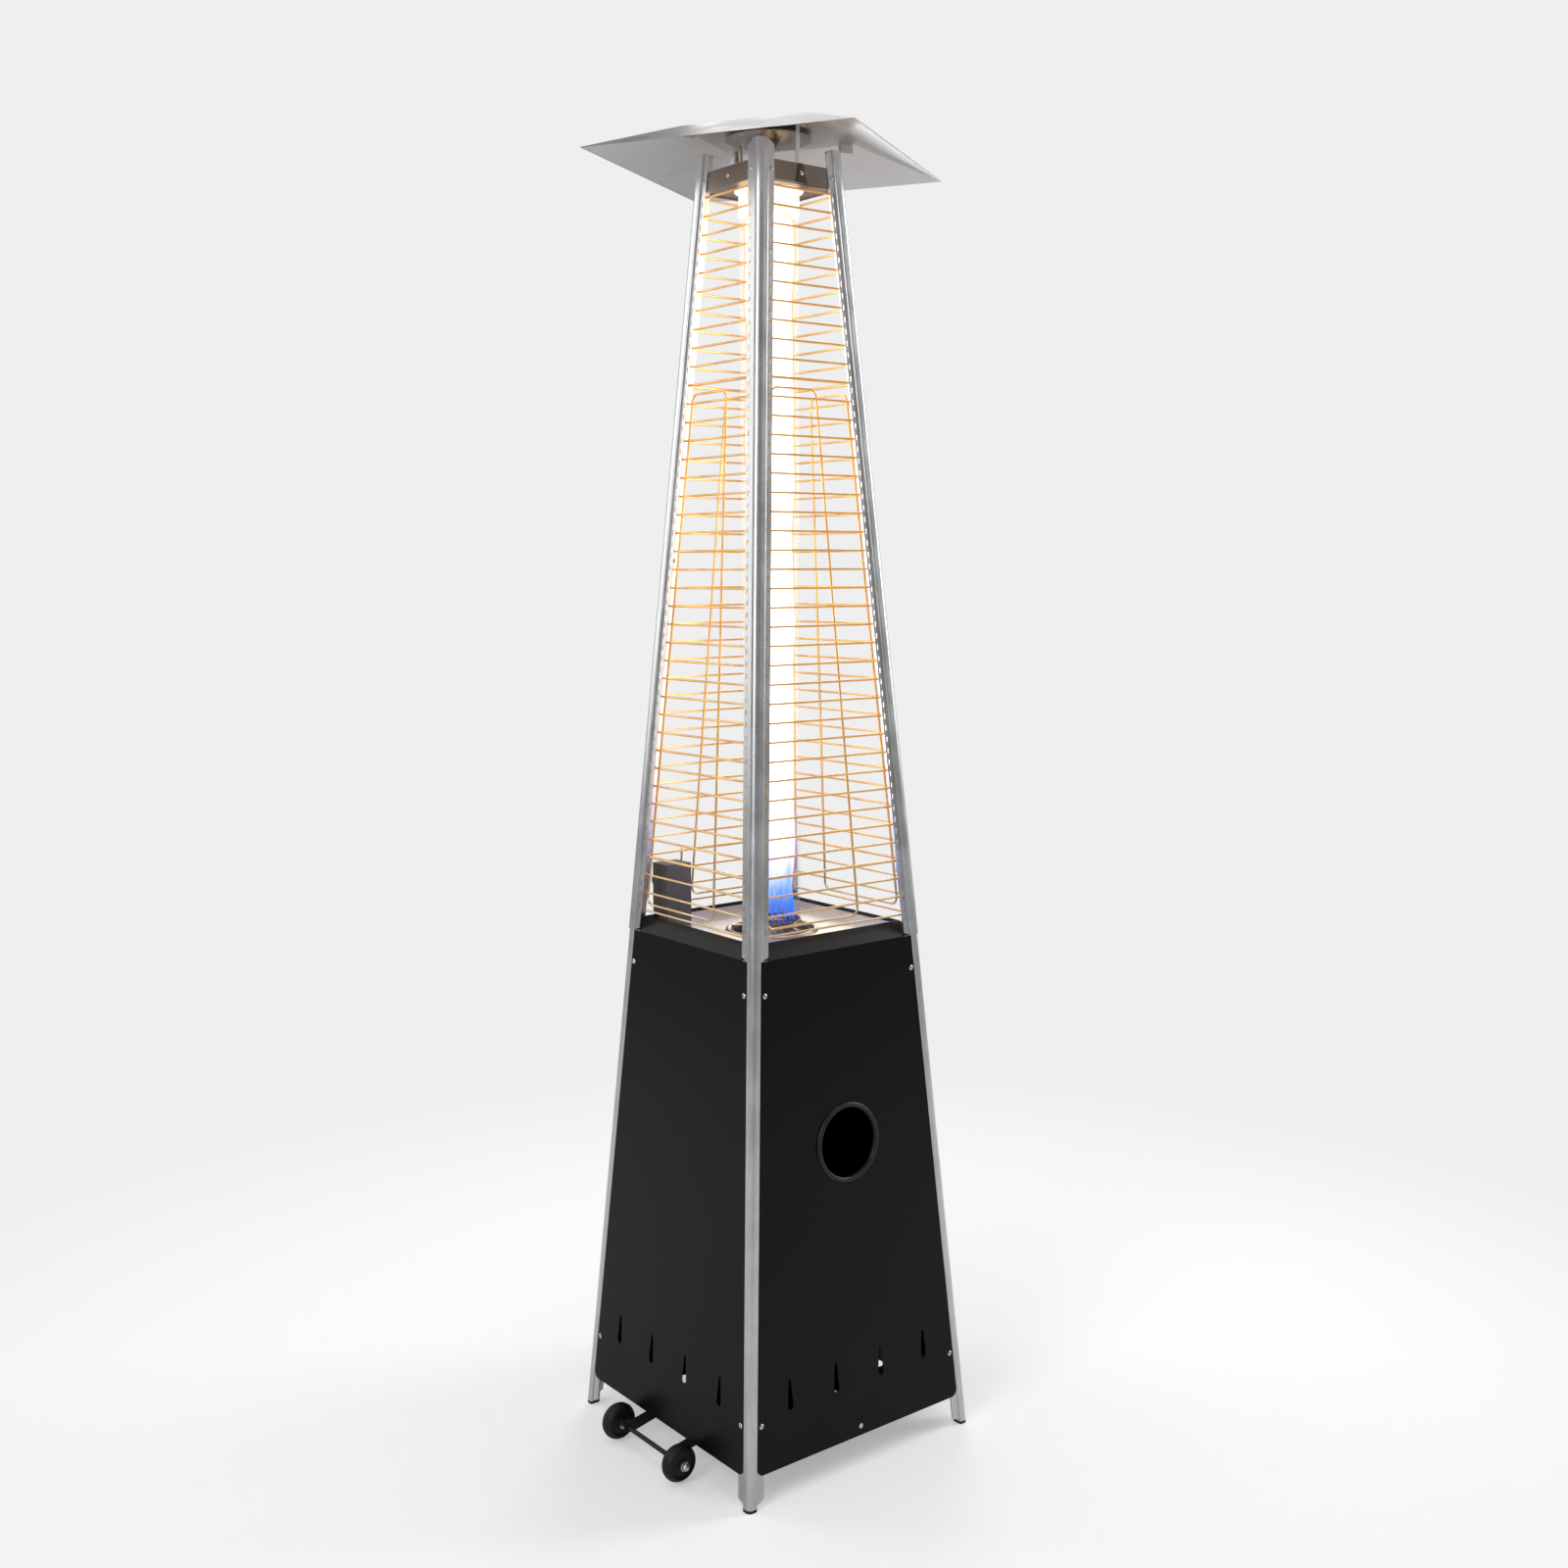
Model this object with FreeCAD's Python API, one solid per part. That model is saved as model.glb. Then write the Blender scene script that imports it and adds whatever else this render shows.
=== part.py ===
import FreeCAD, Part
import math
import os

# Pyramid-shaped gas patio heater: four raked corner posts, a lower cabinet for the gas bottle,
# a glowing quartz tube behind four wire guards, and a square hood on two rods.
# Millimetres, +Z up. The origin is on the floor under the middle of the heater.
# The front face looks along -Y and has the round port, the left face (-X) has the wheels,
# the rear face (+Y) has the door and the controls.

V = FreeCAD.Vector
UP = V(0, 0, 1)
ORIGIN = V(0, 0, 0)

# ---- driving sizes -------------------------------------------------------------------
BASE_HALF = 250.0            # corner of a post from the middle plane, at the floor
TOP_HALF = 90.0              # the same at the top of the posts
POST_TOP_Z = 2240.0          # top of the upper posts
JOINT_RISE = 2.0             # the upper posts start above the panels' top by this much

UPPER_RIB = 22.0             # square rib of an upper post
UPPER_RIB_RADIUS = 11.0      # its rounded outer corner
UPPER_WALL = 1.8
UPPER_WING_SETBACK = 4.0     # wing face behind the rib face
LOWER_WALL = 1.6
LOWER_WING_SETBACK = 5.0
WING_THICKNESS = 2.0
WING_WIDTH = 13.0            # wing beyond the rib, along the face
SHOULDER_RADIUS = 3.0
SPIGOT_LENGTH = 60.0         # lower post inside the upper one
SLOT_PITCH = 20.0            # punched slots along the upper wings
SLOT_WIDTH = 3.6
SLOT_HEIGHT = 9.0
FOOT_PLUG_HEIGHT = 5.0
FOOT_WING_END_Z = 9.0        # the lower wings end here, above the foot
FOOT_WING_CORNER = 6.0       # corner taken off the lower wings there
JOINT_WING_CORNER = 4.0      # the same at the lower end of the upper wings
TOP_WING_CORNER = 10.0       # and at their top

SHEET = 1.2                  # painted sheet steel
PANEL_BOTTOM_Z = 54.0
PANEL_TOP_Z = 888.0
PANEL_CORNER_RADIUS = 12.0
PANEL_SCREW_LOW_Z = 134.0
PANEL_SCREW_DROP = 56.0      # upper screws below the panels' top
PANEL_SCREW_INSET = 7.0      # screw centre from the wing tip
VENT_LOW_Z = 149.0
VENT_HIGH_Z = 190.0
VENT_LOW_RADIUS = 6.0
VENT_HIGH_RADIUS = 2.5
VENT_PLACES = (-150.0, -50.0, 50.0, 150.0)
PORT_Z = 558.0
PORT_BORE = 118.0
PORT_RING_OUTER = 136.0
TETHER_HOLE_Z = 69.0
TETHER_HOLE_DIAMETER = 9.0

TRAY_TOP_Z = 110.0           # floor of the bottle bay
TRAY_DEPTH = 20.0
TRAY_HOLE_DIAMETER = 32.0    # drain holes, one of them under the gas inlet
TRAY_RING_BORE = 230.0       # raised ring that centres the bottle

SKIRT_RISE = 24.0            # bevelled band round the deck
SKIRT_SETIN = 24.8           # top edge of the band behind the corner lines
DECK_RISE = 4.0              # top face of the deck above the panels' top
DECK_FLANGE = 14.0
DECK_HOLE = 150.0

TUBE_OUTER = 100.0           # quartz tube
TUBE_WALL = 2.5
TUBE_SEAT_RISE = 12.0        # its foot above the deck
TUBE_HEADROOM = 21.0         # its top below the flat bars

BAR_HEIGHT = 33.0            # flat bars that tie the post tops
BAR_DROP = 32.0              # their top below the post tops
BAR_THICKNESS = 2.0
ROD_DIAMETER = 8.0           # two rods that carry the hood
ROD_SETIN = 12.0             # rod centre behind the face of the pyramid

HOOD_RIM_HALF = 238.3
HOOD_FLAT_HALF = 114.4
HOOD_DROP = 50.0
HOOD_RISE = 31.0             # its flat middle above the post tops
HOOD_SHEET = 1.0
HOOD_TURN = 30.0             # the hood sits turned on its rods, degrees
HOOD_NUT_HEIGHT = 5.0
HOOD_TAB_LENGTH = 24.0
HOOD_TAB_DROP = 16.0
DISC_DIAMETER = 148.0
DISC_GAP = 7.0               # hood to disc

WIRE_PITCH = 31.8
WIRE_FIRST_RISE = 34.0       # lowest wire above the deck
WIRE_HEADROOM = 8.0          # least room between the highest wire and the flat bars
WIRE_DIAMETER = 3.8
THICK_WIRE_DIAMETER = 5.0
SIDE_WIRE_DIAMETER = 4.0
SIDE_WIRE_INSET = 8.0        # side wire beyond the rib, along the face

WHEEL_DIAMETER = 63.0
WHEEL_WIDTH = 30.0
WHEEL_SHOULDER = 7.0         # how far the tread rounds down at its edges
WHEEL_Z = 34.0
WHEEL_HALF_TRACK = 92.0
AXLE_OUTSET = 27.0           # axle centre outside the floor line of the posts
AXLE_DIAMETER = 8.0
EAR_HALF_GAP = 60.0          # wheel brackets, from the middle plane

BOX_WIDTH = 52.0             # control box on the rear edge of the deck
BOX_INSET = 24.0             # its side from the edge of the skirt
BOX_DEPTH = 46.0
BOX_HEIGHT = 112.0
BOX_OUTSET = 15.0            # its face outside the edge of the skirt
KNOB_DIAMETER = 40.0
KNOB_HEIGHT = 16.0
KNOB_DROP = 36.0             # knob centre below the top of the box
KNOB_TRAVEL = 4.0
BUTTON_DIAMETER = 14.0
BUTTON_RISE = 38.0           # button centre above the deck
BUTTON_TRAVEL = 5.0

HINGE_INSET = 2.0            # door pin beyond the upper rib, along the face
HINGE_SETBACK = 0.2          # door pin behind the face of the pyramid
HINGE_PIN_DIAMETER = 3.0
HINGE_KNUCKLE_DIAMETER = 6.0
HINGE_LENGTH = 60.0
HINGE_PLACES = (190.0, 700.0)
DOOR_PIN_GAP = 0.4           # door edge to the pin's middle, on the post side
DOOR_FREE_GAP = 1.5          # free edge of the door to the lower rib
DOOR_HANDLE_Z = 500.0

NEST_GAP = 0.2               # lower post inside the upper one
EDGE_GAP = 0.6               # panel edge to post
DOOR_GAP = 0.3               # door to post wing
PIN_GAP = 0.05
HOLE_GAP = 0.15              # screw shank to its hole, all round
SLIDE_GAP = 0.3              # between parts of different bodies

# ---- worked out from them ------------------------------------------------------------
JOINT_Z = PANEL_TOP_Z + JOINT_RISE
DECK_Z = PANEL_TOP_Z + DECK_RISE
BAR_TOP_Z = POST_TOP_Z - BAR_DROP
BAR_BOTTOM_Z = BAR_TOP_Z - BAR_HEIGHT
WING_REACH = UPPER_RIB + WING_WIDTH
RAKE = (BASE_HALF - TOP_HALF) / POST_TOP_Z
LEAN = math.degrees(math.atan(RAKE))
NEST = UPPER_WALL + NEST_GAP
LOWER_RIB = UPPER_RIB - 2 * NEST
LOWER_RIB_END = NEST + LOWER_RIB
PANEL_OUTER = LOWER_WING_SETBACK - SHEET
LOWER_WING_BACK = LOWER_WING_SETBACK + WING_THICKNESS
UPPER_WING_BACK = UPPER_WING_SETBACK + WING_THICKNESS
HOOD_TOP_Z = POST_TOP_Z + HOOD_RISE
OVERALL_HEIGHT = HOOD_TOP_Z + HOOD_NUT_HEIGHT
HOOD_FLAT_UNDER_Z = HOOD_TOP_Z - HOOD_SHEET
DISC_TOP_Z = HOOD_FLAT_UNDER_Z - DISC_GAP
SKIRT_BOTTOM_Z = PANEL_TOP_Z + EDGE_GAP
SKIRT_TOP_Z = SKIRT_BOTTOM_Z + SKIRT_RISE
SKIRT_TOP_HALF = BASE_HALF - RAKE * SKIRT_TOP_Z - SKIRT_SETIN
DECK_HALF = SKIRT_TOP_HALF - SHEET
BRACKET_TOP_Z = DECK_Z - SHEET
AXLE_X = -(BASE_HALF + AXLE_OUTSET)
PANEL_SCREW_HIGH_Z = PANEL_TOP_Z - PANEL_SCREW_DROP
PANEL_SCREW_REACH = WING_REACH - PANEL_SCREW_INSET
HINGE_REACH = UPPER_RIB + HINGE_INSET
DOOR_HINGE_EDGE = HINGE_REACH - DOOR_PIN_GAP
DOOR_FREE_EDGE = LOWER_RIB_END + DOOR_FREE_GAP
BOX_LEFT_X = BOX_INSET - SKIRT_TOP_HALF
BOX_RIGHT_X = BOX_LEFT_X + BOX_WIDTH
BOX_X = BOX_LEFT_X + BOX_WIDTH / 2
BOX_FACE_Y = SKIRT_TOP_HALF + BOX_OUTSET
BOX_TOP_Z = DECK_Z + BOX_HEIGHT
KNOB_Z = BOX_TOP_Z - KNOB_DROP
BUTTON_Z = DECK_Z + BUTTON_RISE
INLET_X = BOX_X - 6
INLET_Y = BOX_FACE_Y - 31
TUBE_BOTTOM_Z = DECK_Z + TUBE_SEAT_RISE
TUBE_TOP_Z = BAR_BOTTOM_Z - TUBE_HEADROOM
WIRE_FIRST_Z = DECK_Z + WIRE_FIRST_RISE
WIRE_ROWS = int((BAR_BOTTOM_Z - WIRE_HEADROOM - WIRE_FIRST_Z) / WIRE_PITCH) + 1
THICK_ROWS = (3, WIRE_ROWS - 11)
LOOP_ROWS = (0.35, WIRE_ROWS - 11.5)
CLIP_ROWS = (2.5, WIRE_ROWS / 2 - 0.5, WIRE_ROWS - 3.5)
SIDE_WIRE_REACH = UPPER_RIB + SIDE_WIRE_INSET
CORNER_NAMES = ("front_left", "front_right", "rear_right", "rear_left")


def half_at(z):
    """Half width of the pyramid, corner to middle plane, at height z."""
    return BASE_HALF - RAKE * z


def turned(shape, quarters):
    """A copy turned about the heater's axis by quarter turns: front, right, rear, left."""
    copy = shape.copy()
    copy.rotate(ORIGIN, UP, 90.0 * quarters)
    return copy


def box(x0, x1, y0, y1, z0, z1):
    return Part.makeBox(x1 - x0, y1 - y0, z1 - z0, V(x0, y0, z0))


def rod(start, end, diameter):
    """A round bar from one point to another."""
    line = end - start
    return Part.makeCylinder(diameter / 2, line.Length, start, line)


def ring(outer, inner, z0, z1):
    """An upright ring on the heater's axis."""
    solid = Part.makeCylinder(outer / 2, z1 - z0, V(0, 0, z0))
    return solid.cut(Part.makeCylinder(inner / 2, z1 - z0 + 2, V(0, 0, z0 - 1)))


def joined(shapes):
    """All the shapes as one clean solid."""
    return shapes[0].multiFuse(shapes[1:]).removeSplitter()


def group(shapes):
    return Part.makeCompound(shapes)


def lines(points):
    return [Part.makeLine(a, b) for a, b in zip(points, points[1:]) if (b - a).Length > 1e-6]


def plate_on_front(outline, set_in, thickness):
    """A flat plate in the raked front face: outline is (x, z) points, set_in is how far its outer
    face lies behind the pyramid's face."""
    points = [V(x, -(half_at(z) - set_in), z) for x, z in outline]
    wire = Part.makePolygon(points + [points[0]])
    return Part.Face(wire).extrude(V(0, thickness, 0))


def frustum(low_half, high_half, z0, z1):
    """A square block whose sides slope."""
    wires = []
    for half, z in ((low_half, z0), (high_half, z1)):
        points = [V(sx * half, sy * half, z) for sx, sy in ((-1, -1), (1, -1), (1, 1), (-1, 1))]
        wires.append(Part.makePolygon(points + [points[0]]))
    return Part.makeLoft(wires, True, True)


def on_face(shape, x, z, set_in):
    """Carries a shape built at the origin, facing -Y, to its place on the raked front face."""
    copy = shape.copy()
    copy.rotate(ORIGIN, V(1, 0, 0), -LEAN)
    copy.translate(V(x, -(half_at(z) - set_in), z))
    return copy


def screw(head_diameter, head_height, shank_diameter, shank_length):
    """A round-headed screw at the origin: its head stands out along -Y and its shank goes along +Y."""
    radius = head_diameter / 2
    rim = head_height * 0.35
    profile = [
        Part.makeLine(V(0, -head_height, 0), V(0, shank_length, 0)),
        Part.makeLine(V(0, shank_length, 0), V(shank_diameter / 2, shank_length, 0)),
        Part.makeLine(V(shank_diameter / 2, shank_length, 0), V(shank_diameter / 2, 0, 0)),
        Part.makeLine(V(shank_diameter / 2, 0, 0), V(radius, 0, 0)),
        Part.makeLine(V(radius, 0, 0), V(radius, -rim, 0)),
        Part.Arc(
            V(radius, -rim, 0),
            V(radius * 0.62, -head_height * 0.83, 0),
            V(0, -head_height, 0),
        ).toShape(),
    ]
    solid = Part.Face(Part.Wire(profile)).revolve(ORIGIN, V(0, 1, 0), 360)
    slot = head_diameter * 0.12
    cross = box(-slot / 2, slot / 2, -head_height - 1, -head_height * 0.6, -radius * 0.5, radius * 0.5)
    other = box(-radius * 0.5, radius * 0.5, -head_height - 1, -head_height * 0.6, -slot / 2, slot / 2)
    return solid.cut(cross).cut(other)


def clearance(head_diameter, head_height, shank_diameter, shank_length):
    """The hole for the shank of a screw of the same sizes, at the same place."""
    length = shank_length + 1.5
    return Part.makeCylinder(shank_diameter / 2 + HOLE_GAP, length, V(0, -0.5, 0), V(0, 1, 0))


# ---- corner posts --------------------------------------------------------------------
def post_outline(start, width, radius, setback, with_wings):
    """Outline of a post seen from above, in (u, v) from the pyramid's corner along both faces."""
    end = start + width
    soft = SHOULDER_RADIUS
    cut = (1 - math.sqrt(0.5))
    half = [(start + radius, start), (end - soft, start), (end, start + soft)]
    if with_wings:
        back = setback + WING_THICKNESS
        if setback > start + soft:
            half.append((end, setback))
        half += [(WING_REACH, max(setback, start + soft)), (WING_REACH, back), (end, back)]
    half += [(end, end)]
    mirrored = [(v, u) for u, v in reversed(half[:-1])]
    points = half + mirrored
    bevel = (end - soft * cut, start + soft * cut)
    nose = start + radius * cut
    return points, bevel, (nose, nose)


def post_wires(z, start, width, radius, setback, with_wings, wall):
    """Outer and inner wires of a hollow post for the front left corner, at height z."""
    half = half_at(z)

    def place(point):
        return V(-half + point[0], -half + point[1], z)

    points, bevel, nose = post_outline(start, width, radius, setback, with_wings)
    spots = [place(p) for p in points]
    edges = [Part.makeLine(spots[0], spots[1])]
    edges.append(Part.Arc(spots[1], place(bevel), spots[2]).toShape())
    edges += lines(spots[2:-2])
    edges.append(Part.Arc(spots[-3], place((bevel[1], bevel[0])), spots[-2]).toShape())
    edges.append(Part.makeLine(spots[-2], spots[-1]))
    edges.append(Part.Arc(spots[-1], place(nose), spots[0]).toShape())
    low, high = start + wall, start + width - wall
    curve = radius - wall
    hollow = [place(p) for p in ((low + curve, low), (high, low), (high, high), (low, high), (low, low + curve))]
    inner = lines(hollow)
    tip = low + curve * (1 - math.sqrt(0.5))
    inner.append(Part.Arc(hollow[-1], place((tip, tip)), hollow[0]).toShape())
    return Part.Wire(edges), Part.Wire(inner)


def post_face(z, start, width, radius, setback, with_wings, wall):
    """The cut face of a hollow post for the front left corner, at height z."""
    outer, inner = post_wires(z, start, width, radius, setback, with_wings, wall)
    return Part.Face(outer).cut(Part.Face(inner)).Faces[0]


def raked(face, rise):
    """Carries a level face up along the front left corner line."""
    return face.extrude(V(RAKE * rise, RAKE * rise, rise))


def both_wings(shape):
    """The shape with its mirror image for the other wing of the front left post."""
    other = shape.mirror(ORIGIN, V(1, -1, 0))
    return [shape, other]


def wing_end(z, rise, setback):
    """A wedge that takes the corner off a wing's end at height z. A negative rise cuts a lower end."""
    half = half_at(z)
    tip, root = -half + WING_REACH + 1, -half + UPPER_RIB + 1
    points = [V(tip, -half + setback - 2, z), V(root, -half + setback - 2, z), V(tip, -half + setback - 2, z - rise)]
    return Part.Face(Part.makePolygon(points + [points[0]])).extrude(V(0, 8, 0))


def upper_post():
    face = post_face(JOINT_Z, 0, UPPER_RIB, UPPER_RIB_RADIUS, UPPER_WING_SETBACK, True, UPPER_WALL)
    post = raked(face, POST_TOP_Z - JOINT_Z)
    cuts = both_wings(wing_end(JOINT_Z, -JOINT_WING_CORNER, UPPER_WING_SETBACK))
    cuts += both_wings(wing_end(POST_TOP_Z, TOP_WING_CORNER, UPPER_WING_SETBACK))
    middle = (UPPER_RIB + WING_REACH) / 2 + 1
    z = JOINT_Z + 40
    while z < BAR_BOTTOM_Z - SLOT_PITCH / 2:
        x = -half_at(z) + middle
        y = -half_at(z) + UPPER_WING_SETBACK
        cuts += both_wings(box(x - SLOT_WIDTH / 2, x + SLOT_WIDTH / 2, y - 2, y + 4, z, z + SLOT_HEIGHT))
        z += SLOT_PITCH
    return post.cut(group(cuts))


def lower_post():
    radius = UPPER_RIB_RADIUS - NEST
    foot = post_face(FOOT_PLUG_HEIGHT, NEST, LOWER_RIB, radius, 0, False, LOWER_WALL)
    rib = raked(foot, JOINT_Z + SPIGOT_LENGTH - FOOT_PLUG_HEIGHT)
    winged = post_face(FOOT_WING_END_Z, NEST, LOWER_RIB, radius, LOWER_WING_SETBACK, True, LOWER_WALL)
    body = raked(winged, JOINT_Z - 1 - FOOT_WING_END_Z)
    post = rib.fuse(body).removeSplitter()
    return post.cut(group(both_wings(wing_end(FOOT_WING_END_Z, -FOOT_WING_CORNER, LOWER_WING_SETBACK))))


def foot_plug():
    """A plastic plug under a lower post, with a stem inside its rib."""
    radius = UPPER_RIB_RADIUS - NEST
    outer, _ = post_wires(0, NEST, LOWER_RIB, radius, 0, False, LOWER_WALL)
    cap = raked(Part.Face(outer), FOOT_PLUG_HEIGHT)
    _, inner = post_wires(FOOT_PLUG_HEIGHT, NEST, LOWER_RIB, radius, 0, False, LOWER_WALL + PIN_GAP)
    stem = raked(Part.Face(inner), 20)
    return cap.fuse(stem).removeSplitter()


# ---- cabinet -------------------------------------------------------------------------
def vent_tools():
    """Teardrop slots, narrow at the top, as one cutter through the front face."""
    tools = []
    for x in VENT_PLACES:
        shapes = []
        for z, radius in ((VENT_LOW_Z, VENT_LOW_RADIUS), (VENT_HIGH_Z, VENT_HIGH_RADIUS)):
            shapes.append(Part.makeCylinder(radius, 40, V(x, -half_at(z) - 15, z), V(0, 1, 0)))
        rise = VENT_HIGH_Z - VENT_LOW_Z
        side = math.acos((VENT_LOW_RADIUS - VENT_HIGH_RADIUS) / rise)
        corners = []
        for z, radius in ((VENT_LOW_Z, VENT_LOW_RADIUS), (VENT_HIGH_Z, VENT_HIGH_RADIUS)):
            corners.append((radius * math.sin(side), z + radius * math.cos(side)))
        outline = [(x + corners[0][0], corners[0][1]), (x + corners[1][0], corners[1][1]),
                   (x - corners[1][0], corners[1][1]), (x - corners[0][0], corners[0][1])]
        y = -half_at(VENT_LOW_Z) - 15
        points = [V(px, y, pz) for px, pz in outline]
        shapes.append(Part.Face(Part.makePolygon(points + [points[0]])).extrude(V(0, 40, 0)))
        tools.append(joined(shapes))
    return tools


def sheet_panel(left_edge, right_edge, set_in):
    """A raked sheet for the front face. The edges are distances from the corner lines."""
    low, high = PANEL_BOTTOM_Z, PANEL_TOP_Z
    outline = [(-half_at(low) + left_edge, low), (half_at(low) - right_edge, low),
               (half_at(high) - right_edge, high), (-half_at(high) + left_edge, high)]
    plate = plate_on_front(outline, set_in, SHEET)
    reach = half_at(low) - min(left_edge, right_edge) - 8
    bottom = [edge for edge in plate.Edges
              if abs(edge.CenterOfMass.x) > reach and edge.CenterOfMass.z < low + 1 and edge.Length < 3]
    plate = plate.makeFillet(PANEL_CORNER_RADIUS, bottom)
    return plate.cut(group(vent_tools()))


def fixed_panel():
    edge = LOWER_RIB_END + EDGE_GAP
    return sheet_panel(edge, edge, PANEL_OUTER)


def front_panel():
    port = Part.makeCylinder((PORT_BORE + 6) / 2, 40, V(0, -half_at(PORT_Z) - 15, PORT_Z), V(0, 1, 0))
    tether = Part.makeCylinder(
        TETHER_HOLE_DIAMETER / 2, 40, V(0, -half_at(TETHER_HOLE_Z) - 15, TETHER_HOLE_Z), V(0, 1, 0))
    return fixed_panel().cut(port).cut(tether)


def port_ring():
    """A rounded edging that clips round the port: a bead outside and a lip behind the sheet."""
    bore, outer = PORT_BORE / 2, PORT_RING_OUTER / 2
    lip = bore + 6
    sheet_edge = bore + 2.6
    points = [
        V(bore, 3.2, 0), V(lip, 3.2, 0), V(lip, SHEET + 0.1, 0), V(sheet_edge, SHEET + 0.1, 0),
        V(sheet_edge, 0, 0), V(outer, 0, 0), V(outer, -1.2, 0)]
    edges = lines(points)
    edges.append(Part.Arc(V(outer, -1.2, 0), V((outer + bore) / 2, -4.6, 0), V(bore, -1.2, 0)).toShape())
    edges.append(Part.makeLine(V(bore, -1.2, 0), V(bore, 3.2, 0)))
    solid = Part.Face(Part.Wire(edges)).revolve(ORIGIN, V(0, 1, 0), 360)
    return on_face(solid, 0, PORT_Z, PANEL_OUTER)


def bottle_tray():
    """The floor of the bottle bay, with flanges turned down inside the post wings."""
    half = half_at(TRAY_TOP_Z) - LOWER_WING_BACK - 0.2
    tray = box(-half, half, -half, half, TRAY_TOP_Z - TRAY_DEPTH, TRAY_TOP_Z)
    inner = half - SHEET
    tray = tray.cut(box(-inner, inner, -inner, inner, TRAY_TOP_Z - TRAY_DEPTH - 1, TRAY_TOP_Z - SHEET))
    notch = box(-half - 20, -half_at(TRAY_TOP_Z) + LOWER_RIB_END + 6, -half - 20,
                -half_at(TRAY_TOP_Z) + LOWER_RIB_END + 6, 0, 200)
    tray = tray.cut(group([turned(notch, n) for n in range(4)]))
    holes = []
    for n in range(8):
        hole = Part.makeCylinder(TRAY_HOLE_DIAMETER / 2, 20, V(INLET_X, INLET_Y, TRAY_TOP_Z - 10))
        hole.rotate(ORIGIN, UP, 45 * n)
        holes.append(hole)
    tray = tray.cut(group(holes + tray_screws(clearance)))
    return joined([tray, ring(TRAY_RING_BORE + 6, TRAY_RING_BORE, TRAY_TOP_Z - 0.6, TRAY_TOP_Z + 6)])


def tray_screws(make=screw):
    """Short screws from inside each flange of the tray into the post wings."""
    z = TRAY_TOP_Z - 12
    half = half_at(TRAY_TOP_Z) - LOWER_WING_BACK - 0.2
    one = make(8, 2.4, 3.6, half_at(z) - LOWER_WING_SETBACK - half + SHEET - 0.4)
    one.rotate(ORIGIN, UP, 180)
    pair = []
    for side in (-1, 1):
        copy = one.copy()
        copy.translate(V(side * (half_at(z) - PANEL_SCREW_REACH - 3), -half + SHEET, z))
        pair.append(copy)
    return [turned(s, n) for n in range(4) for s in pair]


def panel_screws(make=screw):
    """Screws through the edges of the fixed panels into the post wings."""
    one = make(9, 2.6, 4, WING_THICKNESS + SHEET + 4)
    places = []
    for z in (PANEL_SCREW_LOW_Z, PANEL_SCREW_HIGH_Z):
        for side in (-1, 1):
            places.append(on_face(one, side * (half_at(z) - PANEL_SCREW_REACH), z, PANEL_OUTER))
    return [turned(s, n) for n in (0, 1, 3) for s in places]


# ---- door on the rear face -----------------------------------------------------------
def door():
    set_in = PANEL_OUTER - DOOR_GAP
    panel = sheet_panel(DOOR_HINGE_EDGE, DOOR_FREE_EDGE, set_in)
    return turned(panel, 2)


def hinge_point(z):
    return V(-half_at(z) + HINGE_REACH, -half_at(z) + HINGE_SETBACK, z)


def along_hinge(z0, z1, diameter):
    return rod(hinge_point(z0), hinge_point(z1), diameter)


def hinge_leaf(z0, z1, from_u, to_u, set_in, thickness):
    """A raked strip of hinge leaf on the front face beside the left post."""
    outline = [(-half_at(z0) + from_u, z0), (-half_at(z0) + to_u, z0),
               (-half_at(z1) + to_u, z1), (-half_at(z1) + from_u, z1)]
    return plate_on_front(outline, set_in, thickness)


def door_hinges():
    """Both hinges on the rear right corner: the fixed leaves with their pins, and the door's leaves."""
    fixed, moving, pins = [], [], []
    bore = HINGE_PIN_DIAMETER + 2 * PIN_GAP
    third = HINGE_LENGTH / 3
    for z in HINGE_PLACES:
        hole = along_hinge(z - 5, z + HINGE_LENGTH + 5, bore)
        parts = []
        for low in (z, z + 2 * third):
            parts.append(along_hinge(low, low + third, HINGE_KNUCKLE_DIAMETER))
            parts.append(hinge_leaf(low, low + third, HINGE_REACH - 15, HINGE_REACH - 1.2, NEST - 1.5, 1.5))
        parts.append(hinge_leaf(z, z + HINGE_LENGTH, HINGE_REACH - 15, HINGE_REACH - 4.6, NEST - 1.5, 1.5))
        fixed.append(joined(parts).cut(hole))
        low, high = z + third + SLIDE_GAP, z + 2 * third - SLIDE_GAP
        set_in = PANEL_OUTER - DOOR_GAP - 1.5
        parts = [along_hinge(low, high, HINGE_KNUCKLE_DIAMETER)]
        parts.append(hinge_leaf(low, high, HINGE_REACH + 1.2, HINGE_REACH + 22, set_in, 1.5))
        parts.append(hinge_leaf(z, z + HINGE_LENGTH, HINGE_REACH + 5, HINGE_REACH + 22, set_in, 1.5))
        moving.append(joined(parts).cut(hole))
        pin = along_hinge(z - 1.5, z + HINGE_LENGTH + 1.5, HINGE_PIN_DIAMETER)
        head = along_hinge(z + HINGE_LENGTH + 0.3, z + HINGE_LENGTH + 2.3, HINGE_KNUCKLE_DIAMETER - 0.6)
        pins.append(pin.fuse(head).removeSplitter())
    return [group([turned(s, 2) for s in shapes]) for shapes in (fixed + pins, moving)]


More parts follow.
